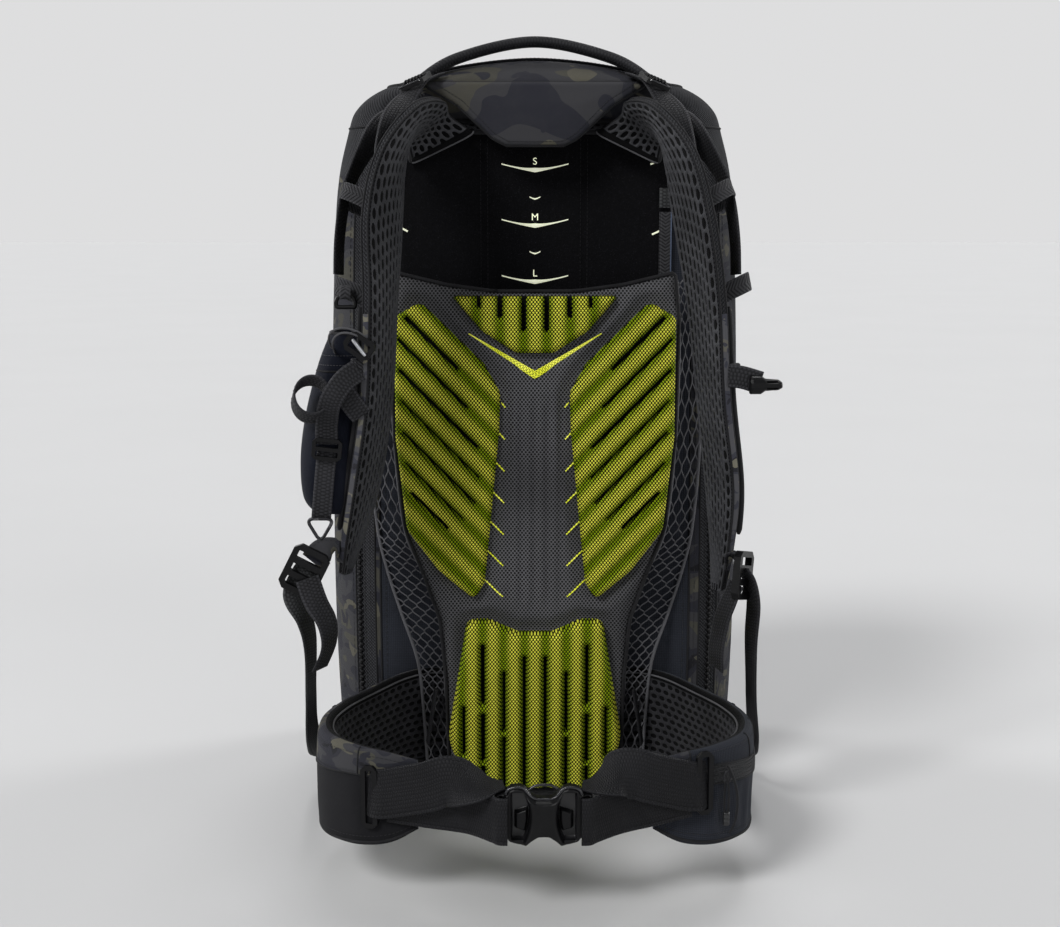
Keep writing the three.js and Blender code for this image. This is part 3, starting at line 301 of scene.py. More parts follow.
def foamMesh(name, ridge):
    # bright foam that shows through a fine black mesh, with painted shade making it darker and greener in the
    # valleys and painted highlight on the crests
    f = Finish(name, Roughness=0.85, Specular_IOR_Level=0.05)
    hole = dots(f, 0.29, 0.33)
    x, _, z = f.spot()
    # the foam's colour follows the ridges: painted shade in the valleys, painted highlight on the crests
    ridgeLight = ridge(x, z) * 0.8 + f.noise(50, 3) * 0.25
    foam = f.mix(ridgeLight.between(0.05, 1.0), (0.175, 0.25, 0.002), (0.64, 0.64, 0.062))
    f.feed("Base Color", f.mix(hole, (0.003, 0.004, 0.0008), foam))
    f.bump(1 - hole, 0.0003)
    return f.material


# painted light over the pads' ridges: 0 in a valley, in painted shade, and 1 on a crest, in painted highlight
def sideRidgeShade(x, z):
    slant = z - x.abs() - pads["foldAt"] / 1000
    return 0.5 - 0.5 * (slant * (2000 * math.pi / pads["foldPitch"]) + math.pi / 2).sin()


def uprightRidgeShade(pitch):
    return lambda x, z: 0.5 + 0.5 * (x * (2000 * math.pi / pitch) + math.pi / 2).sin()


def panelMesh():
    f = Finish("panelMesh", Roughness=0.75, Specular_IOR_Level=0.2, Sheen_Weight=0.05, Sheen_Roughness=0.35)
    hole = dots(f, 0.32, 0.33)
    fade = f.noise(9, 3).between(0.35, 0.7)
    yarn = f.mix(fade, (0.060, 0.060, 0.064), (0.100, 0.100, 0.106))
    f.feed("Base Color", f.mix(hole, yarn, (0.003, 0.003, 0.0035)))
    f.bump(1 - hole, 0.0003)
    return f.material


def limePrint():
    # lime print, broken into dots by the mesh over it; it also glows a little, painted light that makes the
    # print brighter
    f = Finish("limePrint", Roughness=0.8, Specular_IOR_Level=0.05, Emission_Strength=0.25)
    hole = dots(f, 0.26, 0.44)
    tone = f.mix(f.noise(60, 3).between(0.35, 0.7), (0.62, 0.66, 0.03), (0.88, 0.88, 0.12))
    tone = f.mix(hole, (0.035, 0.038, 0.010), tone)
    f.feed("Base Color", tone)
    # the print's colour is also given off as a painted glow
    f.feed("Emission Color", tone)
    f.bump(1 - hole, 0.0003)
    return f.material


def loopCloth():
    # brushed loop cloth: dark, with pale specks of fibre
    f = Finish("loopCloth", Roughness=0.95, Specular_IOR_Level=0.05, Sheen_Weight=0.02, Sheen_Roughness=0.6)
    speck = f.noise(1100, 2, 0.7)
    tuft = f.noise(420, 3, 0.7)
    color = f.mix(speck.between(0.6, 0.78), (0.0022, 0.0022, 0.0027), (0.030, 0.030, 0.036))
    f.feed("Base Color", f.mix(tuft.between(0.5, 0.7) * 0.4, color, (0.0065, 0.0065, 0.008)))
    f.bump(tuft + speck * 0.6, 0.0009)
    return f.material


def webbingFinish(name, color, lighter, rib=0.3):
    # the first coordinate is the distance from the nearer edge
    f = Finish(name, Roughness=0.62, Specular_IOR_Level=0.15, Sheen_Weight=0.02, Sheen_Roughness=0.35)
    edge, run = f.cloth()
    column = (edge / 0.3).floor() % 2
    ribs = ((run / rib + column * 0.5) * math.pi).sin().abs()
    cords = (edge / 0.3 * math.pi).sin().abs()
    hem = 1 - edge.between(0.16, 0.22)
    height = ribs * (0.35 + cords * 0.65) + hem * 0.5
    fade = f.noise(22, 3).between(0.3, 0.75)
    # ribs, cords and the raised hem are coloured lighter where they stand up: painted highlight, with random
    # tone mixed in
    f.feed("Base Color", f.mix((height * 0.6 + fade * 0.3).atMost(1), color, lighter))
    f.bump(height, 0.00045)
    return f.material


def ribbedElastic():
    f = Finish("ribbedElastic", Roughness=0.7, Specular_IOR_Level=0.12, Sheen_Weight=0.02)
    edge, run = f.cloth()
    ribs = ((run + edge * 0.7) / 0.3 * math.pi).sin().abs()
    hem = 1 - edge.between(0.1, 0.16)
    fade = f.noise(35, 3).between(0.3, 0.75)
    # the ribs and hem are coloured lighter where they stand up: painted highlight
    tone = (ribs * 0.6 + hem * 0.3 + fade * 0.2).atMost(1)
    f.feed("Base Color", f.mix(tone, (0.003, 0.003, 0.0035), (0.046, 0.046, 0.050)))
    f.bump(ribs + hem * 0.6, 0.0005)
    return f.material


def yarnFinish(name, color, lighter, rough=0.75, twist=0.12, paintedGlow=0.0):
    # twisted or knitted yarn for strands, piping and cords; the last argument makes the yarn give off light
    # in its own colour, a painted glow that brightens thread
    f = Finish(name, Roughness=rough, Specular_IOR_Level=0.12, Sheen_Weight=0.02, Sheen_Roughness=0.4,
               Emission_Strength=paintedGlow)
    u, v = f.cloth()
    twistLine = ((u * 1.4 + v) / twist * math.pi).sin().abs()
    fade = f.noise(40, 3).between(0.3, 0.7)
    # the yarn is coloured lighter on its raised twists: painted highlight
    yarn = f.mix(twistLine * 0.7 + fade * 0.3, color, lighter)
    f.feed("Base Color", yarn)
    # the yarn's colour is also given off as painted glow, where that is asked for
    f.feed("Emission Color", yarn)
    f.bump(twistLine, 0.00025)
    return f.material


def mouldedPlastic(name, color, rough=0.26, shine=0.5):
    f = Finish(name, Specular_IOR_Level=shine)
    grain = f.noise(2600, 2, 0.6)
    wear = f.noise(60, 4, 0.65).between(0.45, 0.8)
    f.feed("Base Color", f.mix(wear * 0.5, color, tuple(c * 1.9 for c in color)))
    f.feed("Roughness", rough + wear * 0.14 + grain * 0.06)
    f.bump(grain, 0.00012, 0.6)
    return f.material


def metalFinish(name, color, worn, rough):
    f = Finish(name, Metallic=0.9)
    rubbed = f.noise(180, 3, 0.6).between(0.5, 0.75)
    f.feed("Base Color", f.mix(rubbed, color, worn))
    f.feed("Roughness", rough - rubbed * 0.1)
    f.bump(f.noise(1500, 2), 0.00004)
    return f.material


# outlines and slots of the pads; a slot has its upper end, length and half width
# side slots run down and in
pads = {
    "side": [(98, 452, 9), (44, 399, 16), (30, 374, 14), (31, 340, 40), (44, 206, 8), (53, 190, 8),
             (84, 216, 30), (112, 253, 20), (121, 335, 60), (121, 439, 7)],
    "top": [(-71, 457, 2), (71, 457, 2), (46, 427, 12), (16, 408, 12), (-16, 408, 12), (-46, 427, 12)],
    "lumbar": [(-40, 173, 12), (-16, 162, 12), (16, 162, 12), (40, 173, 12), (60, 173, 10), (78, 62, 40),
               (58, 18, 24), (-58, 18, 24), (-78, 62, 40), (-60, 173, 10)],
    "thick": 9, "lumbarThick": 13.5, "back": -0.35, "step": 1.03,
    "foldAt": 328, "foldPitch": 25.7, "topPitch": 20, "ribPitch": 18.4,
    "sideSlots": [(110, 438, 60, 1.3), (117, 420, 82, 0.5), (116, 393, 93, 0.9), (115, 366, 93, 0.6),
                  (114, 339, 86, 0.8), (112, 312, 68, 0.6), (107, 286, 42, 1.1)],
    "topSlots": [(10, 462, 33, 1.8), (30, 462, 21, 1.8), (48, 462, 13, 1.4)],
    "lumbarSlots": [(9.2, 139, 127, 0.7), (27.6, 125, 51, 0.8), (27.6, 65, 53, 0.8), (46, 149, 50, 1.2),
                    (46, 86, 40, 1.2), (46, 38, 26, 1.0), (63, 93, 41, 0.6)],
}

finishes = {
    "coarse": twillCloth("coarseCloth", (0.002, 0.002, 0.0025), (0.052, 0.053, 0.058)),
    "slate": wovenCloth("slateCloth", (0.008, 0.009, 0.012), (0.030, 0.033, 0.042), 0.16),
    "cover": wovenCloth("coverCloth", (0.005, 0.005, 0.006), (0.018, 0.018, 0.020), 0.09),
    "stretch": wovenCloth("stretchCloth", (0.0025, 0.003, 0.0055), (0.0095, 0.0115, 0.020), 0.1, 0.0003, 0.7),
    "core": wovenCloth("paddingCore", (0.0012, 0.0012, 0.0014), (0.004, 0.004, 0.0045), 0.12),
    "camo": camoCloth("camoCloth", 0.07, 1.45, 0.85),
    "camoSide": camoCloth("camoSide", 0.07, 1.35, 0.5),
    "camoPale": camoCloth("camoTrim", 0.06, 2.9, 0.3),
    "camoBand": camoCloth("camoBand", 0.06, 1.6, 0.36),
    "camoCover": camoCloth("camoCover", 0.06, 1.5, 0.5),
    # the pads' foam carries painted shade and highlight along its ridges, the flat top pad too
    "foamSide": foamMesh("foamSide", sideRidgeShade),
    "foamTop": foamMesh("foamTop", uprightRidgeShade(pads["topPitch"])),
    "foamLumbar": foamMesh("foamLumbar", uprightRidgeShade(pads["ribPitch"])),
    "groove": wovenCloth("grooveMesh", (0.0015, 0.002, 0.001), (0.005, 0.006, 0.004), 0.1),
    "panel": panelMesh(),
    "loop": loopCloth(),
    "web": webbingFinish("webbing", (0.0022, 0.0022, 0.0026), (0.030, 0.030, 0.034)),
    "belt": webbingFinish("beltWebbing", (0.0035, 0.0035, 0.004), (0.0115, 0.0115, 0.0135), 0.2),
    "greyWeb": webbingFinish("greyWebbing", (0.006, 0.0062, 0.0068), (0.052, 0.054, 0.056)),
    "elastic": ribbedElastic(),
    "spacer": yarnFinish("spacerYarn", (0.014, 0.014, 0.0155), (0.062, 0.063, 0.069), 0.8, 0.16),
    "wingSpacer": yarnFinish("wingYarn", (0.007, 0.007, 0.008), (0.032, 0.032, 0.036), 0.8, 0.16),
    "net": yarnFinish("netCord", (0.035, 0.035, 0.038), (0.125, 0.125, 0.135), 0.7, 0.1),
    "thread": yarnFinish("sewingThread", (0.010, 0.010, 0.011), (0.040, 0.040, 0.043), 0.7, 0.05),
    "piping": yarnFinish("paleTrim", (0.035, 0.035, 0.038), (0.115, 0.115, 0.122)),
    "blue": yarnFinish("blueEdge", (0.050, 0.065, 0.105), (0.115, 0.145, 0.215)),
    "dark": yarnFinish("darkTrim", (0.004, 0.004, 0.0045), (0.020, 0.020, 0.022)),
    # the size marks' thread glows: painted light
    "mark": yarnFinish("markThread", (0.85, 0.88, 0.62), (0.98, 1.0, 0.80), 0.7, 0.05, 0.4),
    "lime": limePrint(),
    "plastic": mouldedPlastic("buckleBlack", (0.003, 0.003, 0.0034), 0.32, 0.17),
    "dull": mouldedPlastic("dullBuckle", (0.004, 0.004, 0.0045), 0.5, 0.22),
    # glossy edges of the black plastic, also coloured lighter than it as painted highlight
    "gloss": mouldedPlastic("polishedEdgePaintedHighlight", (0.012, 0.012, 0.014), 0.12),
    "coil": mouldedPlastic("zipCoil", (0.0035, 0.0035, 0.004), 0.6, 0.12),
    "zip": mouldedPlastic("zipTeeth", (0.008, 0.008, 0.009), 0.36),
    "wire": metalFinish("coatedWire", (0.03, 0.03, 0.033), (0.20, 0.20, 0.21), 0.34),
    "steel": metalFinish("brightSteel", (0.42, 0.43, 0.45), (0.62, 0.63, 0.65), 0.30),
}
print("finishes made")


# Geometry: small helpers, and a shape that collects grids, tubes and ribbons into one mesh


def table(names, *rows):
    return [dict(zip(names.split(), row)) for row in rows]


def spots(x, y, z):
    return np.stack(np.broadcast_arrays(x, y, z), -1).astype(float)


def same(way, count):
    return np.tile(np.asarray(way, float), (count, 1))


def circle(count):
    return np.linspace(0, 2 * math.pi, count, endpoint=False)


def along(rows, column, at):
    values = np.array([row[column] for row in rows], float)
    at = np.asarray(at, float)
    i = np.clip(np.floor(at).astype(int), 0, len(values) - 2)
    t = at - i
    before, start, end, after = (values[np.clip(i + k, 0, len(values) - 1)] for k in (-1, 0, 1, 2))
    leave, arrive = (end - before) / 2, (after - start) / 2
    cubic = (2 * start - 2 * end + leave + arrive) * t
    return (cubic + 3 * end - 3 * start - 2 * leave - arrive) * t ** 2 + leave * t + start


def columns(rows, names, at):
    return np.stack([along(rows, name, at) for name in names], -1)


def unit(v):
    return v / np.maximum(np.linalg.norm(v, axis=-1, keepdims=True), 1e-9)


def addUp(steps):
    return np.concatenate([[0], np.cumsum(steps)])


def lengths(points):
    return addUp(np.linalg.norm(np.diff(points, axis=0), axis=1))


def pointAt(at, run, path):
    return np.stack([np.interp(at, run, path[:, k]) for k in range(3)], -1)


def smooth(path, count, closed=False):
    # evenly spaced points on a smooth curve through a few points
    path = np.asarray(path, float)
    if closed:
        path = np.vstack([path[-1:], path, path[:2]])
    rows = table("x y z", *path)
    span = (1, len(rows) - 2) if closed else (0, len(rows) - 1)
    fine = columns(rows, "xyz", np.linspace(*span, 400))
    run = lengths(fine)
    at = np.linspace(0, run[-1], count + 1)[:-1] if closed else np.linspace(0, run[-1], count)
    return pointAt(at, run, fine)


def ease(x, low, high):
    t = np.clip((np.asarray(x, float) - low) / (high - low), 0, 1)
    return t * t * (3 - 2 * t)


# pitch, length and thread radius of the stitches
sewing = {"bag": (5.2, 3.4, 0.32), "zip": (4.2, 2.6, 0.3), "cloth": (3.4, 2.2, 0.3), "board": (3.6, 2.4, 0.3),
          "wing": (3.4, 2.2, 0.28), "web": (3.6, 2.4, 0.26), "pouch": (2.6, 1.6, 0.3)}


class Shape:
    def __init__(self):
        self.verts, self.faces, self.uv, self.marks, self.count = [], [], [], [], 0

    def add(self, verts, faces, uv, mark=0):
        faces = np.asarray(faces)
        self.verts.append(np.asarray(verts, float))
        self.faces += (faces + self.count).tolist()
        self.uv.append(np.asarray(uv, float).reshape(-1, 2))
        self.marks.append(np.broadcast_to(np.asarray(mark), (len(faces),)))
        self.count += len(verts)

    def grid(self, points, wrap=False, caps=False, mark=0, across=None):
        # points is rows by columns; across replaces the measured coordinate of the columns
        points = np.asarray(points, float)
        rows, cols = points.shape[:2]
        run = addUp(np.linalg.norm(np.diff(points, axis=0), axis=-1).mean(1)) / 10
        ring = np.concatenate([points, points[:, :1]], 1) if wrap else points
        if across is None:
            across = addUp(np.linalg.norm(np.diff(ring, axis=1), axis=-1).mean(0)) / 10
        elif wrap:
            across = np.append(across, across[0])
        i, j = np.meshgrid(np.arange(rows - 1), np.arange(cols if wrap else cols - 1), indexing="ij")
        i, j = i.ravel(), j.ravel()
        k = (j + 1) % cols
        quads = np.stack([i * cols + j, i * cols + k, (i + 1) * cols + k, (i + 1) * cols + j], -1)
        corners = ((j, i), (j + 1, i), (j + 1, i + 1), (j, i + 1))
        uv = np.stack([np.stack([across[a], run[b]], -1) for a, b in corners], 1)
        mark = np.asarray(mark)
        self.add(points.reshape(-1, 3), quads, uv, mark.ravel() if mark.ndim else mark)
        if caps:
            for row, flip in ((0, True), (rows - 1, False)):
                base = np.arange(cols)
                fan = np.stack([np.full(cols, cols), base, (base + 1) % cols], -1)
                ends = np.vstack([points[row], points[row].mean(0)])
                flat = np.zeros((cols, 3, 2)) + 0.3
                self.add(ends, fan[:, ::-1] if flip else fan, flat, mark.ravel()[0] if mark.ndim else mark)
        return self

    def tube(self, path, radius, sides=8, closed=False, mark=0, squash=1.0):
        path = np.asarray(path, float)
        way = unit(np.roll(path, -1, 0) - np.roll(path, 1, 0)) if closed else unit(np.gradient(path, axis=0))
        side = np.zeros_like(path)
        start = np.cross(way[0], (0.31, 0.2, 0.93))
        side[0] = unit(start if np.linalg.norm(start) > 0.1 else np.cross(way[0], (0, 1, 0)))
        for n in range(1, len(path)):
            side[n] = unit(side[n - 1] - way[n] * (side[n - 1] @ way[n]))
        other = np.cross(way, side)
        angle = circle(sides)[:, None]
        size = np.broadcast_to(np.asarray(radius, float), (len(path),))[:, None, None]
        turn = side[:, None] * np.cos(angle) + other[:, None] * squash * np.sin(angle)
        ring = path[:, None] + size * turn
        if closed:
            ring = np.concatenate([ring, ring[:1]])
        return self.grid(ring, True, not closed, mark)

    def ribbon(self, path, wide, normal, width, thick, mark=0):
        # flat band with soft edges, its width one number or one for each point
        # the cloth's first coordinate is the distance from an edge
        half, deep = np.broadcast_to(np.asarray(width, float) / 2, (len(path),)), thick / 2
        u = np.array([-1, -1, -0.5, 0, 0.5, 1, 1, 1, 1, 0.5, 0, -0.5, -1, -1])
        bevel = min(0.9 / half.max(), 0.2)
        u[[1, 12]] += bevel
        u[[5, 8]] -= bevel
        v = np.array([-0.45, -1, -1, -1, -1, -1, -0.45, 0.45, 1, 1, 1, 1, 1, 0.45]) * deep
        sideways = wide[:, None] * (u * half[:, None])[..., None]
        ring = path[:, None] + sideways + normal[:, None] * v[:, None]
        return self.grid(ring, True, True, mark, (1 - np.abs(u)) * half.max() / 10)

    def box(self, middle, x, y, z, mark=0):
        # x, y and z are half axes
        square = ((-1, -1), (1, -1), (1, 1), (-1, 1))
        corners = np.array([(i, j, k) for k in (-1, 1) for i, j in square], float)
        verts = np.asarray(middle, float) + corners @ np.array([x, y, z], float)
        faces = [(3, 2, 1, 0), (4, 5, 6, 7), (0, 1, 5, 4), (1, 2, 6, 5), (2, 3, 7, 6), (3, 0, 4, 7)]
        self.add(verts, faces, np.tile([(0, 0), (0.2, 0), (0.2, 0.2), (0, 0.2)], (6, 1)), mark)

    def stitches(self, path, normal, kind, mark=0):
        pitch, long, radius = sewing[kind]
        run = lengths(path)
        for at in np.arange(pitch / 2, run[-1], pitch):
            ends = pointAt(at + np.array([-1, 0, 1]) * long / 2, run, path)
            up = pointAt(at, run, normal)
            lift = np.array([-0.1, radius * 0.6, -0.1])[:, None] * up
            self.tube(ends + lift, (radius * 0.7, radius, radius * 0.7), 4, mark=mark)

    def make(self, name, paints, slot, replaces=(), fill=None):
        mesh = bpy.data.meshes.new(name)
        mesh.from_pydata(toRow(np.vstack(self.verts)).tolist(), [], self.faces)
        layer = mesh.uv_layers.new(name="cloth")
        layer.data.foreach_set("uv", np.vstack(self.uv).astype(np.float32).ravel())
        for paint in paints:
            mesh.materials.append(finishes[paint])
        mesh.polygons.foreach_set("material_index", np.concatenate(self.marks).astype(np.int32))
        mesh.polygons.foreach_set("use_smooth", np.ones(len(mesh.polygons), bool))
        mesh.update()
        obj = link(bpy.data.objects.new(name, mesh))
        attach(obj, "root")
        if replaces:
            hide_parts(*replaces)
        return obj


def bandPath(rows, side, steps=14):
    # middle line of a band of webbing, with the directions of its width and thickness
    rows = table("x y z head rise", *rows)
    at = np.linspace(0, len(rows) - 1, (len(rows) - 1) * steps + 1)
    path = columns(rows, "xyz", at) * (side, 1, 1)
    way = unit(np.gradient(path, axis=0))
    head, rise = np.radians(along(rows, "head", at)), np.radians(along(rows, "rise", at))
    wide = np.stack([side * np.cos(rise) * np.cos(head), np.cos(rise) * np.sin(head), np.sin(rise)], -1)
    wide = unit(wide - way * (wide * way).sum(1, keepdims=True))
    return path, wide, np.cross(way, wide)


def roundOutline(corners, steps=7):
    # polygon with round corners in x and z
    points = []
    places = np.array([c[:2] for c in corners], float)
    for n, (_, _, radius) in enumerate(corners):
        at, before, after = places[n], places[n - 1], places[(n + 1) % len(places)]
        enter, leave = unit(before - at), unit(after - at)
        half = math.acos(np.clip(enter @ leave, -1, 1)) / 2
        room = 0.45 * min(np.linalg.norm(before - at), np.linalg.norm(after - at))
        reach = min(radius / math.tan(half), room)
        start, end = at + enter * reach, at + leave * reach
        for t in np.linspace(0, 1, steps):
            points.append((1 - t) ** 2 * start + 2 * t * (1 - t) * at + t * t * end)
    return np.array(points)


def closest(points, a, b):
    # nearest points of the straight line from a to b
    way = b - a
    t = np.clip(((points - a) @ way) / max(way @ way, 1e-9), 0, 1)
    return a + t[..., None] * way


def nearest(points, outline):
    # signed distance to a closed outline, positive inside, and the nearest point on it
    best, spot = np.full(len(points), 1e9), np.zeros_like(points)
    inside = np.zeros(len(points), bool)
    for a, b in zip(outline, np.roll(outline, -1, 0)):
        way = b - a
        near = closest(points, a, b)
        gap = np.linalg.norm(points - near, axis=1)
        closer = gap < best
        best[closer], spot[closer] = gap[closer], near[closer]
        crosses = (a[1] > points[:, 1]) != (b[1] > points[:, 1])
        if way[1]:
            inside ^= crosses & (points[:, 0] < a[0] + (points[:, 1] - a[1]) * way[0] / way[1])
    return np.where(inside, best, -best), spot


# the padding's cloth, as the solver's own settings name it
clothFacts = {"quality": 4, "mass": 0.15, "tension_stiffness": 25, "compression_stiffness": 25,
              "bending_stiffness": 1.5, "use_pressure": True, "vertex_group_mass": "sewn"}
clothFrames = 18


def swell(points, held, pressure, cap):
    # inflates a wrapped grid of padding between its held rows and columns, with the cloth solver
    rows, cols = points.shape[:2]
    shape = Shape().grid(points, True, True)
    mesh = bpy.data.meshes.new("swelling")
    mesh.from_pydata(toRow(np.vstack(shape.verts)).tolist(), [], shape.faces)
    obj = link(bpy.data.objects.new("swelling", mesh))
    sewn = obj.vertex_groups.new(name="sewn")
    held = np.concatenate([held.ravel(), np.ones(len(mesh.vertices) - rows * cols)])
    for n in np.nonzero(held > 0)[0]:
        sewn.add([int(n)], float(held[n]), "REPLACE")
    cloth = obj.modifiers.new("cloth", "CLOTH")
    for label, value in clothFacts.items():
        setattr(cloth.settings, label, value)
    cloth.settings.uniform_pressure_force = pressure
    cloth.settings.effector_weights.gravity = 0
    cloth.point_cache.frame_end = clothFrames
    for n in range(1, clothFrames + 1):
        scene.frame_set(n)
    done = obj.evaluated_get(bpy.context.evaluated_depsgraph_get())
    moved = meshSpots(done.data)[: rows * cols]
    bpy.data.objects.remove(obj)
    scene.frame_set(1)
    shift = moved.reshape(points.shape) - points
    far = np.linalg.norm(shift, axis=-1, keepdims=True)
    return points + shift * np.minimum(1, cap / np.maximum(far, 1e-6))


def meshSpots(mesh, depth=panelDepth):
    # vertices of a mesh in millimetres, with y counted from a depth
    flat = np.zeros(len(mesh.vertices) * 3)
    mesh.vertices.foreach_get("co", flat)
    return flat.reshape(-1, 3) * 1000 - (0, depth, 0)


def gridNormals(points):
    turn = np.roll(points, -1, 1) - np.roll(points, 1, 1)
    return unit(np.cross(turn, np.gradient(points, axis=0)))


def onGrid(points, normals, at, turn):
    # places and normals at fractional rows and columns of a wrapped grid
    rows, cols = points.shape[:2]
    i = np.clip(np.floor(at).astype(int), 0, rows - 2)
    j = np.floor(turn).astype(int)
    s, t = (at - i)[..., None], (turn - j)[..., None]
    pick = lambda a: ((1 - s) * ((1 - t) * a[i, j % cols] + t * a[i, (j + 1) % cols])
                      + s * ((1 - t) * a[i + 1, j % cols] + t * a[i + 1, (j + 1) % cols]))
    return pick(points), unit(pick(normals))


def faceSpot(points, normals, first, last):
    # reads one face of a padded grid by distances along and across it
    line = lengths(points.mean(1))
    steps = np.linalg.norm(np.diff(points[:, first:last + 1], axis=1), axis=-1).mean(0)
    arc = addUp(steps)

    def spot(down, over):
        row = np.interp(down, line, np.arange(len(points)))
        return onGrid(points, normals, row, first + np.interp(over, arc, np.arange(len(arc))))

    return spot, line[-1], arc[-1]


def lattice(shape, spot, long, wide, cell, hole, rise, inside=None):
    # spacer mesh: staggered oval holes; spot gives the place and normal at distances along and across
    # inside tells which middles of cells are kept
    ring = np.array([(0, 0), (0.25, 0), (0.5, 0), (0.75, 0), (1, 0), (1, 0.5),
                     (1, 1), (0.75, 1), (0.5, 1), (0.25, 1), (0, 1), (0, 0.5)])
    count = (int(long / cell[0]), int(wide / cell[1]))
    cell = (long / (count[0] + 0.5), cell[1])  # stretched a little to fill the length
    margin = (0, (wide - count[1] * cell[1]) / 2)
    angle = np.arctan2((ring[:, 1] - 0.5) * cell[1], (ring[:, 0] - 0.5) * cell[0])
    rim = np.stack([np.cos(angle) * hole[0] / cell[0], np.sin(angle) * hole[1] / cell[1]], -1) / 2 + 0.5
    c, r = np.meshgrid(np.arange(count[0]), np.arange(count[1]), indexing="ij")
    base = np.stack([c.ravel() + 0.5 * (r.ravel() % 2), r.ravel()], -1)
    if inside is not None:
        base = base[inside((base + 0.5) * cell + margin)]
    base = base[:, None]
    sunk = (rim - 0.5) * 0.86
    layers = [(base + ring, rise), (base + rim, rise * 0.35), (base + sunk + 0.5, -rise * 1.1)]
    cells, sides = len(base), len(ring)
    keys = np.round(layers[0][0].reshape(-1, 2) * (4, 2)).astype(int)
    _, first, shared = np.unique(keys, axis=0, return_index=True, return_inverse=True)
    flats, lift = [layers[0][0].reshape(-1, 2)[first]], [np.full(len(first), rise)]
    index = [shared.reshape(cells, sides)]
    for place, height in layers[1:]:
        index.append(np.arange(cells * sides).reshape(cells, sides) + sum(map(len, flats)))
        flats.append(place.reshape(-1, 2))
        lift.append(np.full(cells * sides, height))
    flat = np.vstack(flats) * cell + margin
    where, out = spot(flat[:, 0], flat[:, 1])
    verts = where + out * np.concatenate(lift)[:, None]
    faces = []
    for outer, inner in zip(index, index[1:]):
        quads = np.stack([outer, np.roll(outer, -1, 1), np.roll(inner, -1, 1), inner], -1)
        faces.append(quads.reshape(-1, 4))
    faces = np.vstack(faces)
    shape.add(verts, faces, flat[faces] / 10)


def padSheet(shape, outline, step, base, height, mark=None, lean=(0, 0), backMark=0, turn=0.0):
    # closed pad over an outline in x and z: flat back at depth base, front raised by height
    # turn lays the grid of its faces along slanted slots
    spin = np.array([[math.cos(turn), math.sin(turn)], [-math.sin(turn), math.cos(turn)]])
    upright, outline = outline, outline @ spin.T
    low, high = outline.min(0) - step, outline.max(0) + step
    x, z = (np.arange(low[k], high[k] + step, step) for k in (0, 1))
    flat = np.stack(np.meshgrid(x, z, indexing="ij"), -1)
    rows, cols = flat.shape[:2]
    flat = flat.reshape(-1, 2) @ spin
    inner, spot = nearest(flat, upright)
    flat = np.where(inner[:, None] < 0, spot, flat)
    rise = height(flat, np.maximum(inner, 0))
    i, j = (a.ravel() for a in np.meshgrid(np.arange(rows - 1), np.arange(cols - 1), indexing="ij"))
    quads = np.stack([i * cols + j, (i + 1) * cols + j, (i + 1) * cols + j + 1, i * cols + j + 1], -1)
    quads = quads[(inner[quads] > 0).any(1)]
    used, faces = np.unique(quads, return_inverse=True)
    faces = faces.reshape(-1, 4)
    flat, rise = flat[used], rise[used]
    depth = base + lean[0] * (flat[:, 1] - lean[1])
    front = spots(flat[:, 0], depth - rise, flat[:, 1])
    back = spots(flat[:, 0], depth, flat[:, 1])
    marks = mark(flat[faces].mean(1)) if mark else 0
    shape.add(front, faces, flat[faces] / 10, marks)
    shape.add(back, faces[:, ::-1], flat[faces[:, ::-1]] / 10, backMark)
    return shape


def within(x, low, high):
    # distance inside a range, negative outside it
    return np.minimum(x - low, high - x)


def dome(inner, radius):
    # quarter round from an edge inwards
    return np.sqrt(np.maximum(0, 1 - (1 - np.clip(inner / radius, 0, 1)) ** 2))


setStage()
print("stage set")


# Thin cords: two elastic loops under the left keeper and the cord of the wing's zip

cords = {
    "elasticLoopUpper": {"radius": 0.9, "paint": "piping", "route": [
        (-163, -93, 420), (-163, -112, 428), (-160, -121, 434.5), (-153, -124, 438), (-145, -124, 437.5),
        (-137, -122, 434), (-131, -119, 428)]},
    "elasticLoopLower": {"radius": 0.9, "paint": "piping", "route": [
        (-160, -94, 415), (-160, -112, 424), (-157, -121, 431), (-151, -124.5, 434.5), (-144, -124.5, 434),
        (-137, -122, 430.5), (-132, -119, 424)]},
    "pullCord": {"radius": 1.1, "paint": "dark", "route": [
        (147, -198.6, 109), (151, -200, 101), (154.5, -200, 88), (155, -199, 74), (153, -199, 62),
        (149, -199.5, 55)]},
}


def makeCords():
    for name, facts in cords.items():
        path = smooth(facts["route"], 30)
        cord = Shape().tube(path, facts["radius"], 8).make(name, [facts["paint"]], "webbing")


makeCords()
print("cords laid")


# Bag: one padded skin in panels, with seams, a zip down each back corner and a plain front panel

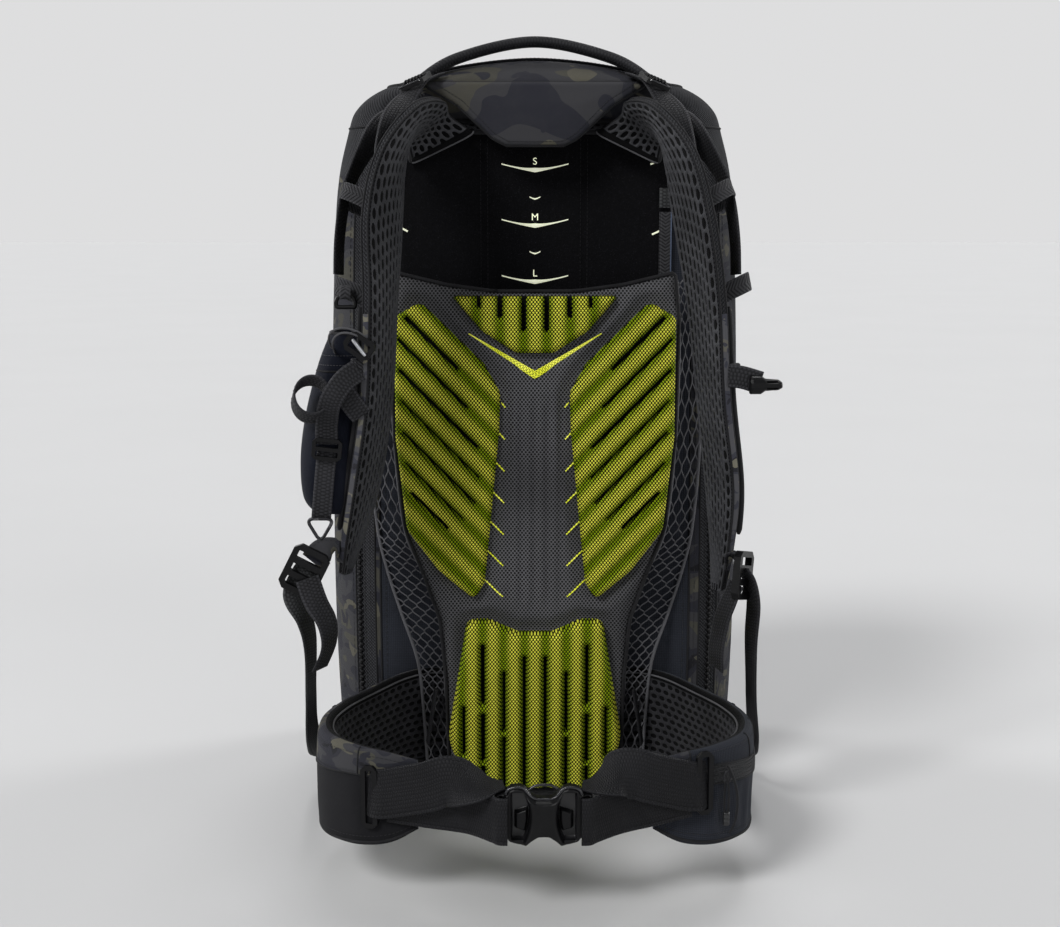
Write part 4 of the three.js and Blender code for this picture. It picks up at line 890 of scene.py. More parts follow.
ringKeys = "z half back front corner"
bag = {
    "rows": table(ringKeys, (0, 158, 48, 246, 42), (12, 174, 38, 259, 52), (40, 181, 35, 266, 58),
                  (170, 184, 35, 270, 60), (330, 183, 35, 268, 60), (450, 182, 35, 259, 60),
                  (548, 178, 35, 242, 60), (600, 167, 35, 228, 60)),
    "heights": 76, "backSteps": 18, "cornerSteps": 18, "sideSteps": 22, "frontSteps": 40,
    "shoulder": 556, "foot": 30, "swell": 5.0, "zipFrom": 70, "zipTo": 425, "zipTurn": 35, "toothStep": 2.6,
    # finishes are 0 twill, 1 slate and 2 camo, each up to a turn from the back wall in degrees
    # the plain front panel is a share of the front
    "cornerBands": ((15, 1), (25, 2), (45, 0), (91, 2)), "frontPanel": (0.12, 0.88),
}
lid = {
    "rows": table(ringKeys, (600.35, 167, 35, 228, 60), (615, 161, 29, 221, 60), (628, 146, 19, 208, 60),
                  (638, 124, 16, 196, 60), (648, 90, 30, 178, 55), (655, 56, 48, 154, 40),
                  (659, 24, 66, 122, 22)),
    "heights": 44, "seam": 636, "swell": 2.5, "twillFrom": 98, "twillTop": 646,
}


def ringPlan():
    # for each column of a ring: shares of width, corner and depth, and the place round a corner
    plan, kinds = [], []
    back, corner, side, front = (bag[k + "Steps"] for k in ("back", "corner", "side", "front"))

    def turn(ax, ay, start, kind):
        for k in range(corner):
            angle = start + math.pi / 2 * k / corner
            plan.append((ax, math.cos(angle), ay, math.sin(angle)))
            kinds.append((kind, k / corner))

    def straight(count, kind, ax, bx, ay, by):
        for k in range(count):
            t = k / count
            plan.append((ax[0] + (ax[1] - ax[0]) * t, bx, ay[0] + (ay[1] - ay[0]) * t, by))
            kinds.append((kind, t))

    straight(back, "back", (0, 1), 0, (0, 0), -1)
    turn(1, 0, -math.pi / 2, "backRight")
    straight(side, "right", (1, 1), 1, (0, 1), 0)
    turn(1, 1, 0, "frontRight")
    straight(front, "front", (1, -1), 0, (1, 1), 1)
    turn(-1, 1, math.pi / 2, "frontLeft")
    straight(side, "left", (-1, -1), -1, (1, 0), 0)
    turn(-1, 0, math.pi, "backLeft")
    straight(back, "back", (-1, 0), 0, (0, 0), -1)
    return np.array(plan), kinds


def ringGrid(rows, count):
    plan, kinds = ringPlan()
    at = np.interp(np.linspace(0, 1, count), np.linspace(0, 1, len(rows)), np.arange(len(rows)))
    z, half, back, front, corner = (along(rows, name, at)[:, None] for name in ringKeys.split())
    ax, bx, ay, by = plan.T
    x = ax * (half - corner) + bx * corner
    y = (1 - ay) * (back + corner) + ay * (front - corner) + by * corner
    return spots(x, y, z), kinds


# share round a back corner counted from the back wall
def fromBack(kind, t):
    return t if kind == "backRight" else 1 - t


def bagMark(kind, t):
    if kind == "back":
        return 1
    if kind.startswith("back"):
        turn = fromBack(kind, t) * 90
        return next(mark for end, mark in bag["cornerBands"] if turn < end)
    low, high = bag["frontPanel"]
    return 0 if kind == "front" and low < t < high else 2


def rowAt(points, z):
    return np.abs(points[:, 0, 2] - z).argmin()


def makeBag():
    points, kinds = ringGrid(bag["rows"], bag["heights"])
    panels = np.array([bagMark(*k) for k in kinds])
    marks = np.tile(panels, (bag["heights"] - 1, 1))
    high = points[:-1, 0, 2] > bag["shoulder"]
    marks[np.ix_(high, panels == 2)] = 0
    marks[points[:-1, 0, 2] < bag["foot"]] = 0
    seams = panels != np.roll(panels, 1)
    held = np.zeros(points.shape[:2])
    held[:, seams] = 1
    held[:, [k[0] == "back" for k in kinds]] = 1
    held[points[:, 0, 2] < 14] = 1
    held[[rowAt(points, bag["shoulder"]), -1]] = 1
    points = swell(points, held, 5, bag["swell"])
    out = gridNormals(points)
    shape = Shape().grid(points, True, True, marks)
    shape.make("bagSkin", ["coarse", "slate", "camoSide"], "bag_cloth", ["bag_shell"], 0.55)
    trim = Shape()
    for j in np.nonzero(seams)[0]:
        trim.tube(points[4:-1, j] + out[4:-1, j] * 0.2, 0.9, 6)
        for near in ((j - 1) % len(kinds), (j + 1) % len(kinds)):
            trim.stitches(points[6:-2, near] + out[6:-2, near] * 0.1, out[6:-2, j], "bag", 1)
    trim.tube(points[6] + out[6] * 0.4, 1.5, 6, True)
    trim.make("bagPiping", ["dark", "thread"], "bag_cloth")
    makeZips(points, out, kinds)
    print("bag", len(points), "rows")


def makeZips(points, out, kinds):
    zips = Shape()
    for corner in ("backRight", "backLeft"):
        turns = np.array([fromBack(*k) * 90 if k[0] == corner else 999 for k in kinds])
        j = np.abs(turns - bag["zipTurn"]).argmin()
        run = lengths(points[:, j])
        start, end = np.interp([bag["zipFrom"], bag["zipTo"]], points[:, j, 2], run)
        for n, at in enumerate(np.arange(start, end, bag["toothStep"])):
            spot, up = pointAt(at, run, points[:, j]), pointAt(at, run, out[:, j])
            wide = unit(np.cross(up, (0, 0, 1)))
            shift = wide * (1.0 if n % 2 else -1.0)
            zips.box(spot + up * 1.0 + shift, wide * 1.7, up * 1.0, np.array((0, 0, 0.95)))
        for gap in (-5.5, 5.5):
            wide = unit(np.cross(out[:, j], (0, 0, 1)))
            edge = points[3:-8, j] + wide[3:-8] * gap + out[3:-8, j] * 0.5
            zips.stitches(edge, out[3:-8, j], "zip", 1)
    zips.make("cornerZips", ["coil", "dark"], "zip_pull")


def makeLid():
    points, _ = ringGrid(lid["rows"], lid["heights"])
    aside = np.abs(points[:-1, :, 0]) > lid["twillFrom"]
    marks = np.where(aside & (points[:-1, :, 2] < lid["twillTop"]), 1, 0)
    held = np.zeros(points.shape[:2])
    held[[0, 1, rowAt(points, lid["seam"]), -1]] = 1
    points = swell(points, held, 4, lid["swell"])
    out = gridNormals(points)
    Shape().grid(points, True, True, marks).make("lidCrown", ["camo", "coarse"], "camo_cloth", ["lid"], 0.6)
    trim = Shape()
    row = rowAt(points, lid["seam"])
    trim.tube(points[row] + out[row] * 0.3, 1.2, 6, True)
    trim.tube(points[1] + out[1] * 0.2, 0.8, 6, True)
    trim.make("lidPiping", ["dark"], "camo_cloth")
    threads = Shape()
    near = points[row - 1, :, 1] < 60
    order = np.argsort(points[row - 1, near, 0])
    line, up = points[row - 1, near][order], out[row - 1, near][order]
    threads.stitches(line, up, "cloth")
    threads.make("lidStitches", ["thread"], "camo_cloth")


makeBag()
makeLid()


# Tongue of the lid over the yoke

tongue = {"half": [(100, 637, 4), (66, 617, 24), (36, 589, 22), (24, 583, 8)],
          "thick": 4.4, "crown": 2.2, "back": 1.5, "lean": 0.26, "rimTop": 634}


def mirrored(half):
    return half + [(-x, z, r) for x, z, r in reversed(half)]


def makeTongue():
    outline = roundOutline(mirrored(tongue["half"]))
    foot = tongue["half"][-1][1]
    rise = lambda p, d: tongue["thick"] * dome(d, 4) + tongue["crown"] * ease(d, 2, 22)
    shape = padSheet(Shape(), outline, 1.6, tongue["back"], rise, lean=(tongue["lean"], foot))
    shape.make("tongueFlap", ["camo"], "camo_cloth", ["lid_tongue"], 0.4)
    onFront = lambda p, h: spots(p[:, 0], tongue["back"] + tongue["lean"] * (p[:, 1] - foot) - h, p[:, 1])
    rim = outline[outline[:, 1] < tongue["rimTop"]]
    start = np.argmax(np.linalg.norm(np.diff(rim, axis=0, append=rim[:1]), axis=1)) + 1
    rim = np.roll(rim, -start, 0)
    Shape().tube(smooth(onFront(rim, 1.0), 150), 1.2, 6).make("tonguePiping", ["dark"], "camo_cloth")
    line = smooth(onFront(rim * (0.93, 1) + (0, 3.6), tongue["thick"] + 0.5), 150)
    threads = Shape()
    threads.stitches(line, same((0, -1, 0), len(line)), "cloth")
    threads.make("tongueStitches", ["thread"], "camo_cloth")


makeTongue()
print("lid and tongue sewn")


# Board behind the harness, with size marks sewn on it, and the stay sleeve at its right edge

board = {
    "corners": [(-118, 430, 8), (118, 430, 8), (118, 598, 8), (-118, 598, 8)],
    "back": 34.65, "thick": 3.0, "seams": (-44, 42.5),
    # size marks: height of the ends, height of the middle and letter
    "sizes": [(569, 563.8, "S"), (521.5, 516.2, "M"), (473, 467.7, "L")], "sizeHalf": 29, "letter": 8.5,
    # short marks between them, and ticks with their width and slant
    "short": (540, 493), "shortHalf": 4.7,
    "ticks": [(-114, 513, 6.6, -3.4), (103, 570, 6.2, 2.8), (105, 510, 6.2, 2.8)],
}
stay = {"low": 441, "top": 528, "middle": 113.5, "half": 4.8, "back": 31.2, "bulge": 3.2, "ribPitch": 4.2,
        "tabLow": 531.5, "tabTop": 548.5, "tabHalf": 6.3}


def letterPiece(text, size, place):
    curve = bpy.data.curves.new("letter" + text, "FONT")
    curve.body, curve.size, curve.extrude, curve.align_x = text, size / 1000, 0.00035, "CENTER"
    letter = link(bpy.data.objects.new("letter" + text, curve))
    mesh = bpy.data.meshes.new_from_object(letter.evaluated_get(bpy.context.evaluated_depsgraph_get()))
    bpy.data.objects.remove(letter)
    flat = meshSpots(mesh, 0)
    verts = spots(flat[:, 0], -flat[:, 2], flat[:, 1]) + np.asarray(place, float)
    return verts, [list(p.vertices) for p in mesh.polygons]


def sewnLine(shape, path, width, front):
    # flat stitched stripe on an upright face
    path = np.asarray(path, float)
    line = spots(path[:, 0], front, path[:, 1])
    wide = unit(np.cross(unit(np.gradient(line, axis=0)), (0, 1, 0)))
    shape.ribbon(line, wide, same((0, 1, 0), len(path)), width, 0.9)


def arcMark(shape, half, low, high, front):
    # mark like a shallow smile: pointed and thick in the middle, thin at its ends
    x = np.linspace(-half, half, 41)
    share = np.abs(x) / half
    path = spots(x, front, low + (high - low) * share ** 1.5)
    width = 1.0 + 0.1 * half * (1 - share) ** 2.6
    shape.ribbon(path, same((0, 0, 1), 41), same((0, 1, 0), 41), width, 0.9)


def makeBoard():
    outline = roundOutline(board["corners"])
    seams = board["seams"]
    groove = lambda p: np.min([np.abs(p[:, 0] - s) for s in seams], 0)
    rise = lambda p, d: board["thick"] * dome(d, 2.5) - 1.1 * (1 - ease(groove(p), 0, 3.5)) * ease(d, 0, 3)
    shape = padSheet(Shape(), outline, 2.4, board["back"], rise)
    shape.make("loopBoard", ["loop"], "loop_cloth", ["back_board"])
    front = board["back"] - board["thick"]
    face = front - 0.35
    marks = Shape()
    for high, low, letter in board["sizes"]:
        arcMark(marks, board["sizeHalf"], low, high, face)
        verts, faces = letterPiece(letter, board["letter"], (0, front - 0.3, low + 4.6))
        for corners in faces:
            marks.add(verts[corners], [list(range(len(corners)))], np.zeros((len(corners), 2)))
    for z in board["short"]:
        arcMark(marks, board["shortHalf"], z - 0.9, z + 0.9, face)
    for x, z, wide, slant in board["ticks"]:
        sewnLine(marks, [(x - wide / 2, z - slant / 2), (x, z), (x + wide / 2, z + slant / 2)], 1.5, face)
    marks.make("sizeMarks", ["mark"], "loop_cloth")
    threads = Shape()
    for seam in seams:
        for shift in (-3, 3):
            line = spots(seam + shift, front - 0.05, np.linspace(436, 592, 40))
            threads.stitches(line, same((0, -1, 0), 40), "board")
    threads.make("boardStitches", ["dark"], "loop_cloth")


def makeStay():
    sleeve = Shape()
    middle, half = stay["middle"], stay["half"]
    z = np.linspace(stay["low"], stay["top"], 170)[:, None]
    ribs = 0.5 * np.abs(np.sin(z * math.pi / stay["ribPitch"]))
    u = np.linspace(-1, 1, 11)
    bulge = stay["bulge"] * np.sqrt(1 - np.abs(u) ** 3 * 0.98)
    skin = spots(middle + u * half, stay["back"] - bulge + ribs * (1 - u ** 2), z)
    sleeve.grid(skin, across=(1 - np.abs(u)) * half / 10)
    for side, mark in ((-1, 0), (1, 2)):
        edge = spots(middle + side * half, stay["back"] - 0.8, np.linspace(stay["low"], stay["top"], 60))
        sleeve.tube(edge, 0.7, 6, mark=mark)
    z = np.linspace(stay["tabLow"], stay["tabTop"], 12)
    path = spots(middle + 0.5, 29.8 - 0.9 * np.sin((z - z[0]) / (z[-1] - z[0]) * math.pi), z)
    sleeve.ribbon(path, same((1, 0, 0), 12), same((0, 1, 0), 12), stay["tabHalf"] * 2, 2.0, 1)
    sleeve.make("staySleeve", ["elastic", "greyWeb", "blue"], "webbing", ["stay_sleeve"])


makeBoard()
makeStay()
print("board marked")


# Back panel, pads and side nets

panel = {
    "half": [(35, 461, 80), (76, 466.5, 60), (120, 477, 5), (124, 436, 60), (122, 332, 80), (114, 253, 60),
             (98, 212, 60), (84, 171, 60), (79, 116, 60), (77, 40, 30), (60, 14, 16)],
    "thick": 10, "swell": 5.0, "ridgePitch": 11.5,
    # sewn chevron: half width, height of its middle and of its ends
    "chevron": (57, 389.5, 425),
    # dashes: first place, step to the next, and first and last reach
    "dashes": 7, "dashFrom": (29.2, 365.3), "dashStep": (2.85, -25.9),
    "dashReach": ((-3.4, -4.3), (-18, -15.8)),
}


def mirrorOutline(outline):
    return (outline * (-1, 1))[::-1]


def slotLines(slots, way, mirrors=(1,)):
    # both ends of each slot and its half width
    way = np.asarray(way, float)
    lines = []
    for side in mirrors:
        for x, z, long, half in slots:
            top = np.array((x, z), float)
            lines.append((top * (side, 1), (top + way * long) * (side, 1), half))
    return lines


def slotGap(points, lines):
    return np.min([np.linalg.norm(points - closest(points, a, b), axis=-1) - half for a, b, half in lines], 0)


def makePad(name, outline, lines, thick, ridge, node, paint, soft=6.0, turn=0.0):
    def rise(p, d):
        gap = np.maximum(slotGap(p, lines), 0)
        top = thick * dome(d, 6) + 0.9 * ease(d, 4, 22) + ridge(p) * ease(d, 1, 9)
        return np.minimum(top, 1.0 + (top - 1.0) * dome(gap, soft)) * (d > 0)

    mark = lambda p: (slotGap(p, lines) < 0.25).astype(int)
    shape = padSheet(Shape(), outline, pads["step"], pads["back"], rise, mark, backMark=1, turn=turn)
    shape.make(name, [paint, "groove"], "foam", [node], 0.85)


def makePads():
    side = roundOutline(pads["side"])
    lean = math.pi / 4
    diagonal = (-math.cos(lean), -math.sin(lean))
    # soft folds that carry the slots on to the pad's edges
    wave = lambda p: np.cos(2 * math.pi * (p[:, 1] - np.abs(p[:, 0]) - pads["foldAt"]) / pads["foldPitch"])
    fold = lambda p: -2.4 * (0.5 + 0.5 * wave(p)) ** 1.5
    for hand, mirror, outline in (("Right", 1, side), ("Left", -1, mirrorOutline(side))):
        lines = slotLines(pads["sideSlots"], diagonal, (mirror,))
        makePad("pad" + hand, outline, lines, pads["thick"], fold, "back_pad_" + hand.lower(), "foamSide",
                3.2, lean)
    flat = lambda p: np.zeros(len(p))
    lines = slotLines(pads["topSlots"], (0, -1), (1, -1))
    makePad("padTop", roundOutline(pads["top"]), lines, pads["thick"], flat, "back_pad_top", "foamTop", 3)
    ribs = lambda p: 2.0 * np.abs(np.cos(math.pi * p[:, 0] / pads["ribPitch"])) - 1.2
    lines = slotLines(pads["lumbarSlots"], (0, -1), (1, -1))
    makePad("padLumbar", roundOutline(pads["lumbar"]), lines, pads["lumbarThick"], ribs, "lumbar_pad",
            "foamLumbar", 5.5)


def padGap(points):
    # distance from the pads, for the bare mesh between them
    side = roundOutline(pads["side"])
    outlines = [side, mirrorOutline(side), roundOutline(pads["top"]), roundOutline(pads["lumbar"])]
    return np.min([-nearest(points, outline)[0] for outline in outlines], 0)


def spineRidges(p):
    inside = (1 - ease(np.abs(p[:, 0]), 20, 27)) * ease(p[:, 1], 178, 196) * (1 - ease(p[:, 1], 352, 384))
    return 1.3 * np.cos(2 * math.pi * p[:, 0] / panel["ridgePitch"] + math.pi) * inside


def panelFront(p):
    return panel["swell"] * ease(padGap(p), 0.5, 15) * ease(p[:, 1], 20, 60) + spineRidges(p)


def makePanel():
    outline = roundOutline(mirrored(panel["half"]))
    rise = lambda p, d: panel["thick"] * dome(d, 5) + panelFront(p) * ease(d, 2, 12)
    shape = padSheet(Shape(), outline, 2.4, panel["thick"], rise)
    shape.make("airPanel", ["panel"], "air_mesh", ["back_panel"], 0.3)
    rim = spots(outline[:, 0], 2.2, outline[:, 1])
    Shape().tube(smooth(rim, 420, True), 1.7, 6, True).make("panelPiping", ["dark"], "air_mesh")
    sewn = Shape()

    def sewOn(path, width):
        # tapered stripe laid on the panel's front
        path = np.asarray(path, float)
        way = unit(np.gradient(path, axis=0))
        line = spots(path[:, 0], -panelFront(path) - 0.35, path[:, 1])
        sewn.ribbon(line, spots(-way[:, 1], 0, way[:, 0]), same((0, 1, 0), len(path)), width, 0.9)

    half, low, high = panel["chevron"]
    at = np.linspace(-1, 1, 81)
    sewOn(np.stack([half * at, low + (high - low) * np.abs(at)], -1), 0.9 + 5.6 * (1 - np.abs(at)) ** 1.2)
    short, long = (np.array(reach) for reach in panel["dashReach"])
    for n in range(panel["dashes"]):
        start = np.array(panel["dashFrom"]) + np.array(panel["dashStep"]) * n
        reach = short + (long - short) * n / (panel["dashes"] - 1)
        for side in (-1, 1):
            sewOn((start + reach * np.linspace(0, 1, 12)[:, None]) * (side, 1), 1.3)
    sewn.make("limeMarks", ["lime"], "air_mesh")


net = {
    "rows": table("z inX outX outY", (470, 121.5, 140, 34), (420, 124.5, 143, 34), (332, 122.5, 147, 34),
                  (253, 114.5, 142, 34), (212, 98.5, 134, 34), (171, 84.5, 121, 30), (132, 80.5, 106, 17),
                  (94, 78.6, 101, 12.5), (28, 70, 97, 12.5)),
    "inY": 7.6, "cellLong": 16.0, "cells": 3, "cord": 0.62,
}


def netSpot(side, down, share):
    # place on the bent net at a distance down its length and a share of its width
    rows = net["rows"]
    at = down / (rows[0]["z"] - rows[-1]["z"]) * (len(rows) - 1)
    z = along(rows, "z", at)
    inner = spots(side * along(rows, "inX", at), net["inY"], z)
    outer = spots(side * along(rows, "outX", at), along(rows, "outY", at), z)
    return inner + (outer - inner) * np.asarray(share)[..., None]


def makeNets():
    long = net["rows"][0]["z"] - net["rows"][-1]["z"]
    reach = net["cells"] * net["cellLong"]
    for hand, side in (("Left", -1), ("Right", 1)):
        shape = Shape()
        for start in np.arange(-reach, long, net["cellLong"]):
            for lean in (0, 1):
                share = np.linspace(0, 1, 33)
                down = start + share * reach
                meet = 4 * math.pi * net["cells"]  # strands run side by side where they meet
                share = share - 0.75 * np.sin(share * meet) / meet
                keep = (down >= 0) & (down <= long)
                if keep.sum() > 2:
                    path = netSpot(side, down[keep], (share if lean else 1 - share)[keep])
                    path[:, 1] += 0.5 * (1 if lean else -1)
                    shape.tube(path, net["cord"], 5)
        for share in (0.01, 0.99):
            down = np.linspace(0, long, 90)
            shape.tube(netSpot(side, down, np.full(90, share)), 1.5, 6)
        shape.make("sideNet" + hand, ["net"], "net", ["side_net_" + hand.lower()])


makePads()
makePanel()
makeNets()
print("back panel padded")


# Shoulder straps: padding in a dark cover, spacer mesh on the body side, piped rim

strapKeys = "inX inY inZ rimX rimY rimZ pad"
strapRoot = [(104, 18, 570, 53, 18, 594, 8), (107, 10, 584, 73, 8, 608, 9), (110, -14, 587, 77, -22, 618, 11),
             (111, -38, 574, 95, -72, 611, 12)]
strap = {
    "left": [(111, -52, 540, 119, -106, 577, 12), (113, -57, 500, 131, -115, 528, 13),
             (117, -58, 450, 131, -117, 462, 13), (122, -55, 375, 135, -113, 380, 13),
             (133, -50, 305, 147, -100, 308, 12), (147, -54, 258, 156, -86, 260, 10),
             (156, -64, 230, 160, -78, 231, 7)],
    "right": [(113, -52, 540, 120, -106, 577, 12), (120, -57, 500, 135, -115, 528, 13),
              (129, -58, 450, 145, -117, 462, 13), (138, -55, 375, 151, -113, 380, 13),
              (146, -50, 305, 161, -100, 308, 12), (150, -54, 255, 160, -86, 257, 10),
              (150, -64, 216, 155, -78, 217, 7)],
    "steps": 150, "round": 76, "flat": 0.45, "aspect": 4.4, "rimSteps": 3,
    "stripFrom": 6.15, "stripWide": 4.6, "cell": (10.4, 6.3), "hole": (8.3, 4.5), "rise": 1.2, "swell": 1.4,
    # binding over the mesh's upper end: distance from the end and lift of each row
    "binding": ((0.2, 0.2), (0.5, 1.8), (2, 2.2), (5, 1.9), (5.9, 0.2)),
}


def strapTable(hand):
    return table(strapKeys, *strapRoot, *strap[hand])


def strapFrame(hand, at):
    # middle of the strap, the way to its rim and the way out of its outer face
    rows, side = strapTable(hand), -1 if hand == "left" else 1
    edges = lambda t: [columns(rows, [n + k for k in "XYZ"], t) * (side, 1, 1) for n in ("in", "rim")]
    last = len(rows) - 1
    middle = lambda t: sum(edges(t)) / 2
    inner, rim = edges(at)
    way = unit(middle(np.minimum(at + 0.05, last)) - middle(np.maximum(at - 0.05, 0)))
    across = (rim - inner) / 2
    out = unit(np.cross(across, way)) * side
    return (inner + rim) / 2, across, out, along(rows, "pad", at)


def oval(angle, flat):
    return [np.sign(c) * np.abs(c) ** flat for c in (np.cos(angle), np.sin(angle))]


def section(count, flat, aspect):
    # even steps round a soft oblong whose long side is aspect times the short one
    u, v = oval(np.linspace(0, 2 * math.pi, 4001), flat)
    run = lengths(np.stack([u * aspect, v], -1))
    at = np.linspace(0, run[-1], count + 1)[:-1]
    return np.interp(at, run, u), np.interp(at, run, v)


def makeStrap(hand):
    name = "strap" + hand.title()
    at = np.linspace(0, len(strapTable(hand)) - 1, strap["steps"])
    middle, across, out, pad = strapFrame(hand, at)
    u, v = section(strap["round"], strap["flat"], strap["aspect"])
    thick = out[:, None] * (v[:, None] * (pad / 2 - 0.9)[:, None, None])
    points = middle[:, None] + across[:, None] * u[:, None] + thick
    half, rimSteps = strap["round"] // 2, strap["rimSteps"]
    held = np.zeros(points.shape[:2])
    held[:, [0, rimSteps, -rimSteps, half - rimSteps, half, half + rimSteps]] = 1
    held[[0, 1, -1, -2]] = 1
    points = swell(points, held, 6, strap["swell"])
    normals = gridNormals(points)
    normals *= np.sign((normals[60, 10] * (points[60, 10] - points[60].mean(0))).sum())
    ring = np.arange(strap["round"])
    marks = np.where(ring >= half, 1, 0)
    marks[np.minimum(ring, strap["round"] - 1 - ring) < rimSteps] = 2
    core = Shape().grid(points, True, True, np.tile(marks, (strap["steps"] - 1, 1)))
    core.make(name + "Pad", ["camoCover", "core", "coarse"], "spacer_mesh", ["shoulder_strap_" + hand], 0.7)

    spot, long, wide = faceSpot(points, normals, half + rimSteps - 1, strap["round"] - 1)
    mesh = Shape()
    lattice(mesh, spot, long, wide, strap["cell"], strap["hole"], strap["rise"])
    mesh.make(name + "Mesh", ["spacer"], "spacer_mesh")
    rim = Shape()
    for column in (rimSteps, -1, half + rimSteps - 2, half - rimSteps):
        rim.tube(points[2:-1, column] + normals[2:-1, column] * 0.5, 1.0, 7)
    low = int(strap["stripFrom"] / at[-1] * strap["steps"])
    edge, face = points[low:-8, 1], normals[low:-8, 1]
    wayOver = unit(np.cross(face, np.gradient(edge, axis=0)))
    rim.ribbon(edge + face * 0.5, wayOver, face, strap["stripWide"], 0.9, 1)
    # the binding has a pale line at its edge
    over = np.linspace(0, wide, 30)

    def onFace(down, lift):
        place, up = spot(np.full(30, down), over)
        return place + up * lift

    rim.grid(np.stack([onFace(*row) for row in strap["binding"]]), mark=3)
    rim.tube(onFace(0.7, 1.9), 0.75, 6, mark=2)
    rim.make(name + "Rim", ["dark", "camoPale", "piping", "core"], "spacer_mesh")
    threads = Shape()
    for column in (1, rimSteps + 3, half - rimSteps - 3):
        face = normals[24:-4, column]
        threads.stitches(points[24:-4, column] + face * 0.1, face, "cloth")
    threads.make(name + "Stitches", ["thread"], "spacer_mesh")


yoke = {"half": [(57, 596, 10), (100, 573, 8), (107, 570, 3), (107, 604, 10)],
        "back": 31.3, "thick": 8.2, "cell": (4.4, 6.0), "hole": (3.0, 4.4)}


def makeYoke():
    outline = roundOutline(mirrored(yoke["half"]))
    rise = lambda p, d: yoke["thick"] * dome(d, 6) + 0.6 * np.sin(p[:, 0] / 9) * ease(d, 2, 8)
    shape = padSheet(Shape(), outline, 2.2, yoke["back"], rise)
    shape.make("yokePad", ["core"], "spacer_mesh", ["yoke"], 0.6)
    low, high = outline.min(0), outline.max(0)
    upright = lambda a, b: np.stack([low[0] + b, high[1] - a], -1)

    def spot(a, b):
        p = upright(a, b)
        inner, _ = nearest(p, outline)
        place = spots(p[:, 0], yoke["back"] - rise(p, np.maximum(inner, 0)) - 0.2, p[:, 1])
        return place, same((0, -1, 0), len(p))

    mesh = Shape()
    inside = lambda p: nearest(upright(p[:, 0], p[:, 1]), outline)[0] > 1.2
    lattice(mesh, spot, high[1] - low[1], high[0] - low[0], yoke["cell"], yoke["hole"], strap["rise"], inside)
    mesh.make("yokeMesh", ["wingSpacer"], "spacer_mesh")
    rim = spots(outline[:, 0], yoke["back"] - 4.5, outline[:, 1])
    Shape().tube(smooth(rim, 260, True), 2.4, 8, True).make("yokePiping", ["dark"], "spacer_mesh")


makeStrap("left")
makeStrap("right")
makeYoke()
print("straps padded")


# Hip wings: spacer mesh inside, a puffed camo band over a plain pocket left, a slate pocket with a zip right

wingKeys = "x y top low pad seam"
wing = {
    "rows": table(wingKeys, (62, 27.5, 116, 30, 13, 84), (92, 26.5, 120, 32, 14, 85),
                  (118, 9, 120, 34, 16, 86), (143, -32, 119, 36, 17, 86), (162, -80, 121, 38, 18, 88),
                  (169, -125, 123, 40, 18, 92), (161, -165, 124, 41, 18, 98), (138, -190, 123, 43, 17, 102),
                  (112, -200, 120, 48, 13, 101), (90, -203, 115, 60, 8, 96)),
    "steps": 130, "round": 72, "flat": 0.5, "aspect": 5, "edgeSteps": 3, "seamStep": 12,
    "cell": (10.5, 5.8), "hole": (8.2, 3.9), "rise": 1.0, "swell": 3.2,
    # rows of the upright seams on each outside, and where the tip of the right one begins
    "upright": {"left": (60, 103), "right": (58, 72, 86, 112)}, "tipFrom": 112,
    "zip": (40, 106), "zipSteps": 5, "zipLift": 7,
}


def wingGrid(side):
    at = np.linspace(0, len(wing["rows"]) - 1, wing["steps"])
    x, y, top, low, pad, seam = (along(wing["rows"], key, at)[:, None] for key in wingKeys.split())
    way = unit(np.concatenate([np.gradient(x, axis=0), np.gradient(y, axis=0)], 1))
    u, v = section(wing["round"], wing["flat"], wing["aspect"])
    # share of the height from the top; on the outside one column follows the seam
    share = np.tile((1 - u) / 2, (len(at), 1))
    half, step = wing["round"] // 2, wing["seamStep"]
    seam = seam + wing["zipLift"] * (side > 0)
    turn, want = share[0, step], (top - seam) / (top - low)
    bent = np.where(share < turn, share * want / turn, 1 - (1 - share) * (1 - want) / (1 - turn))
    share[:, :half + 1] = bent[:, :half + 1]
    lift = v * (pad / 2 - 1.3)
    return spots(side * (x - way[:, 1:] * lift), y + way[:, :1] * lift, top - share * (top - low))


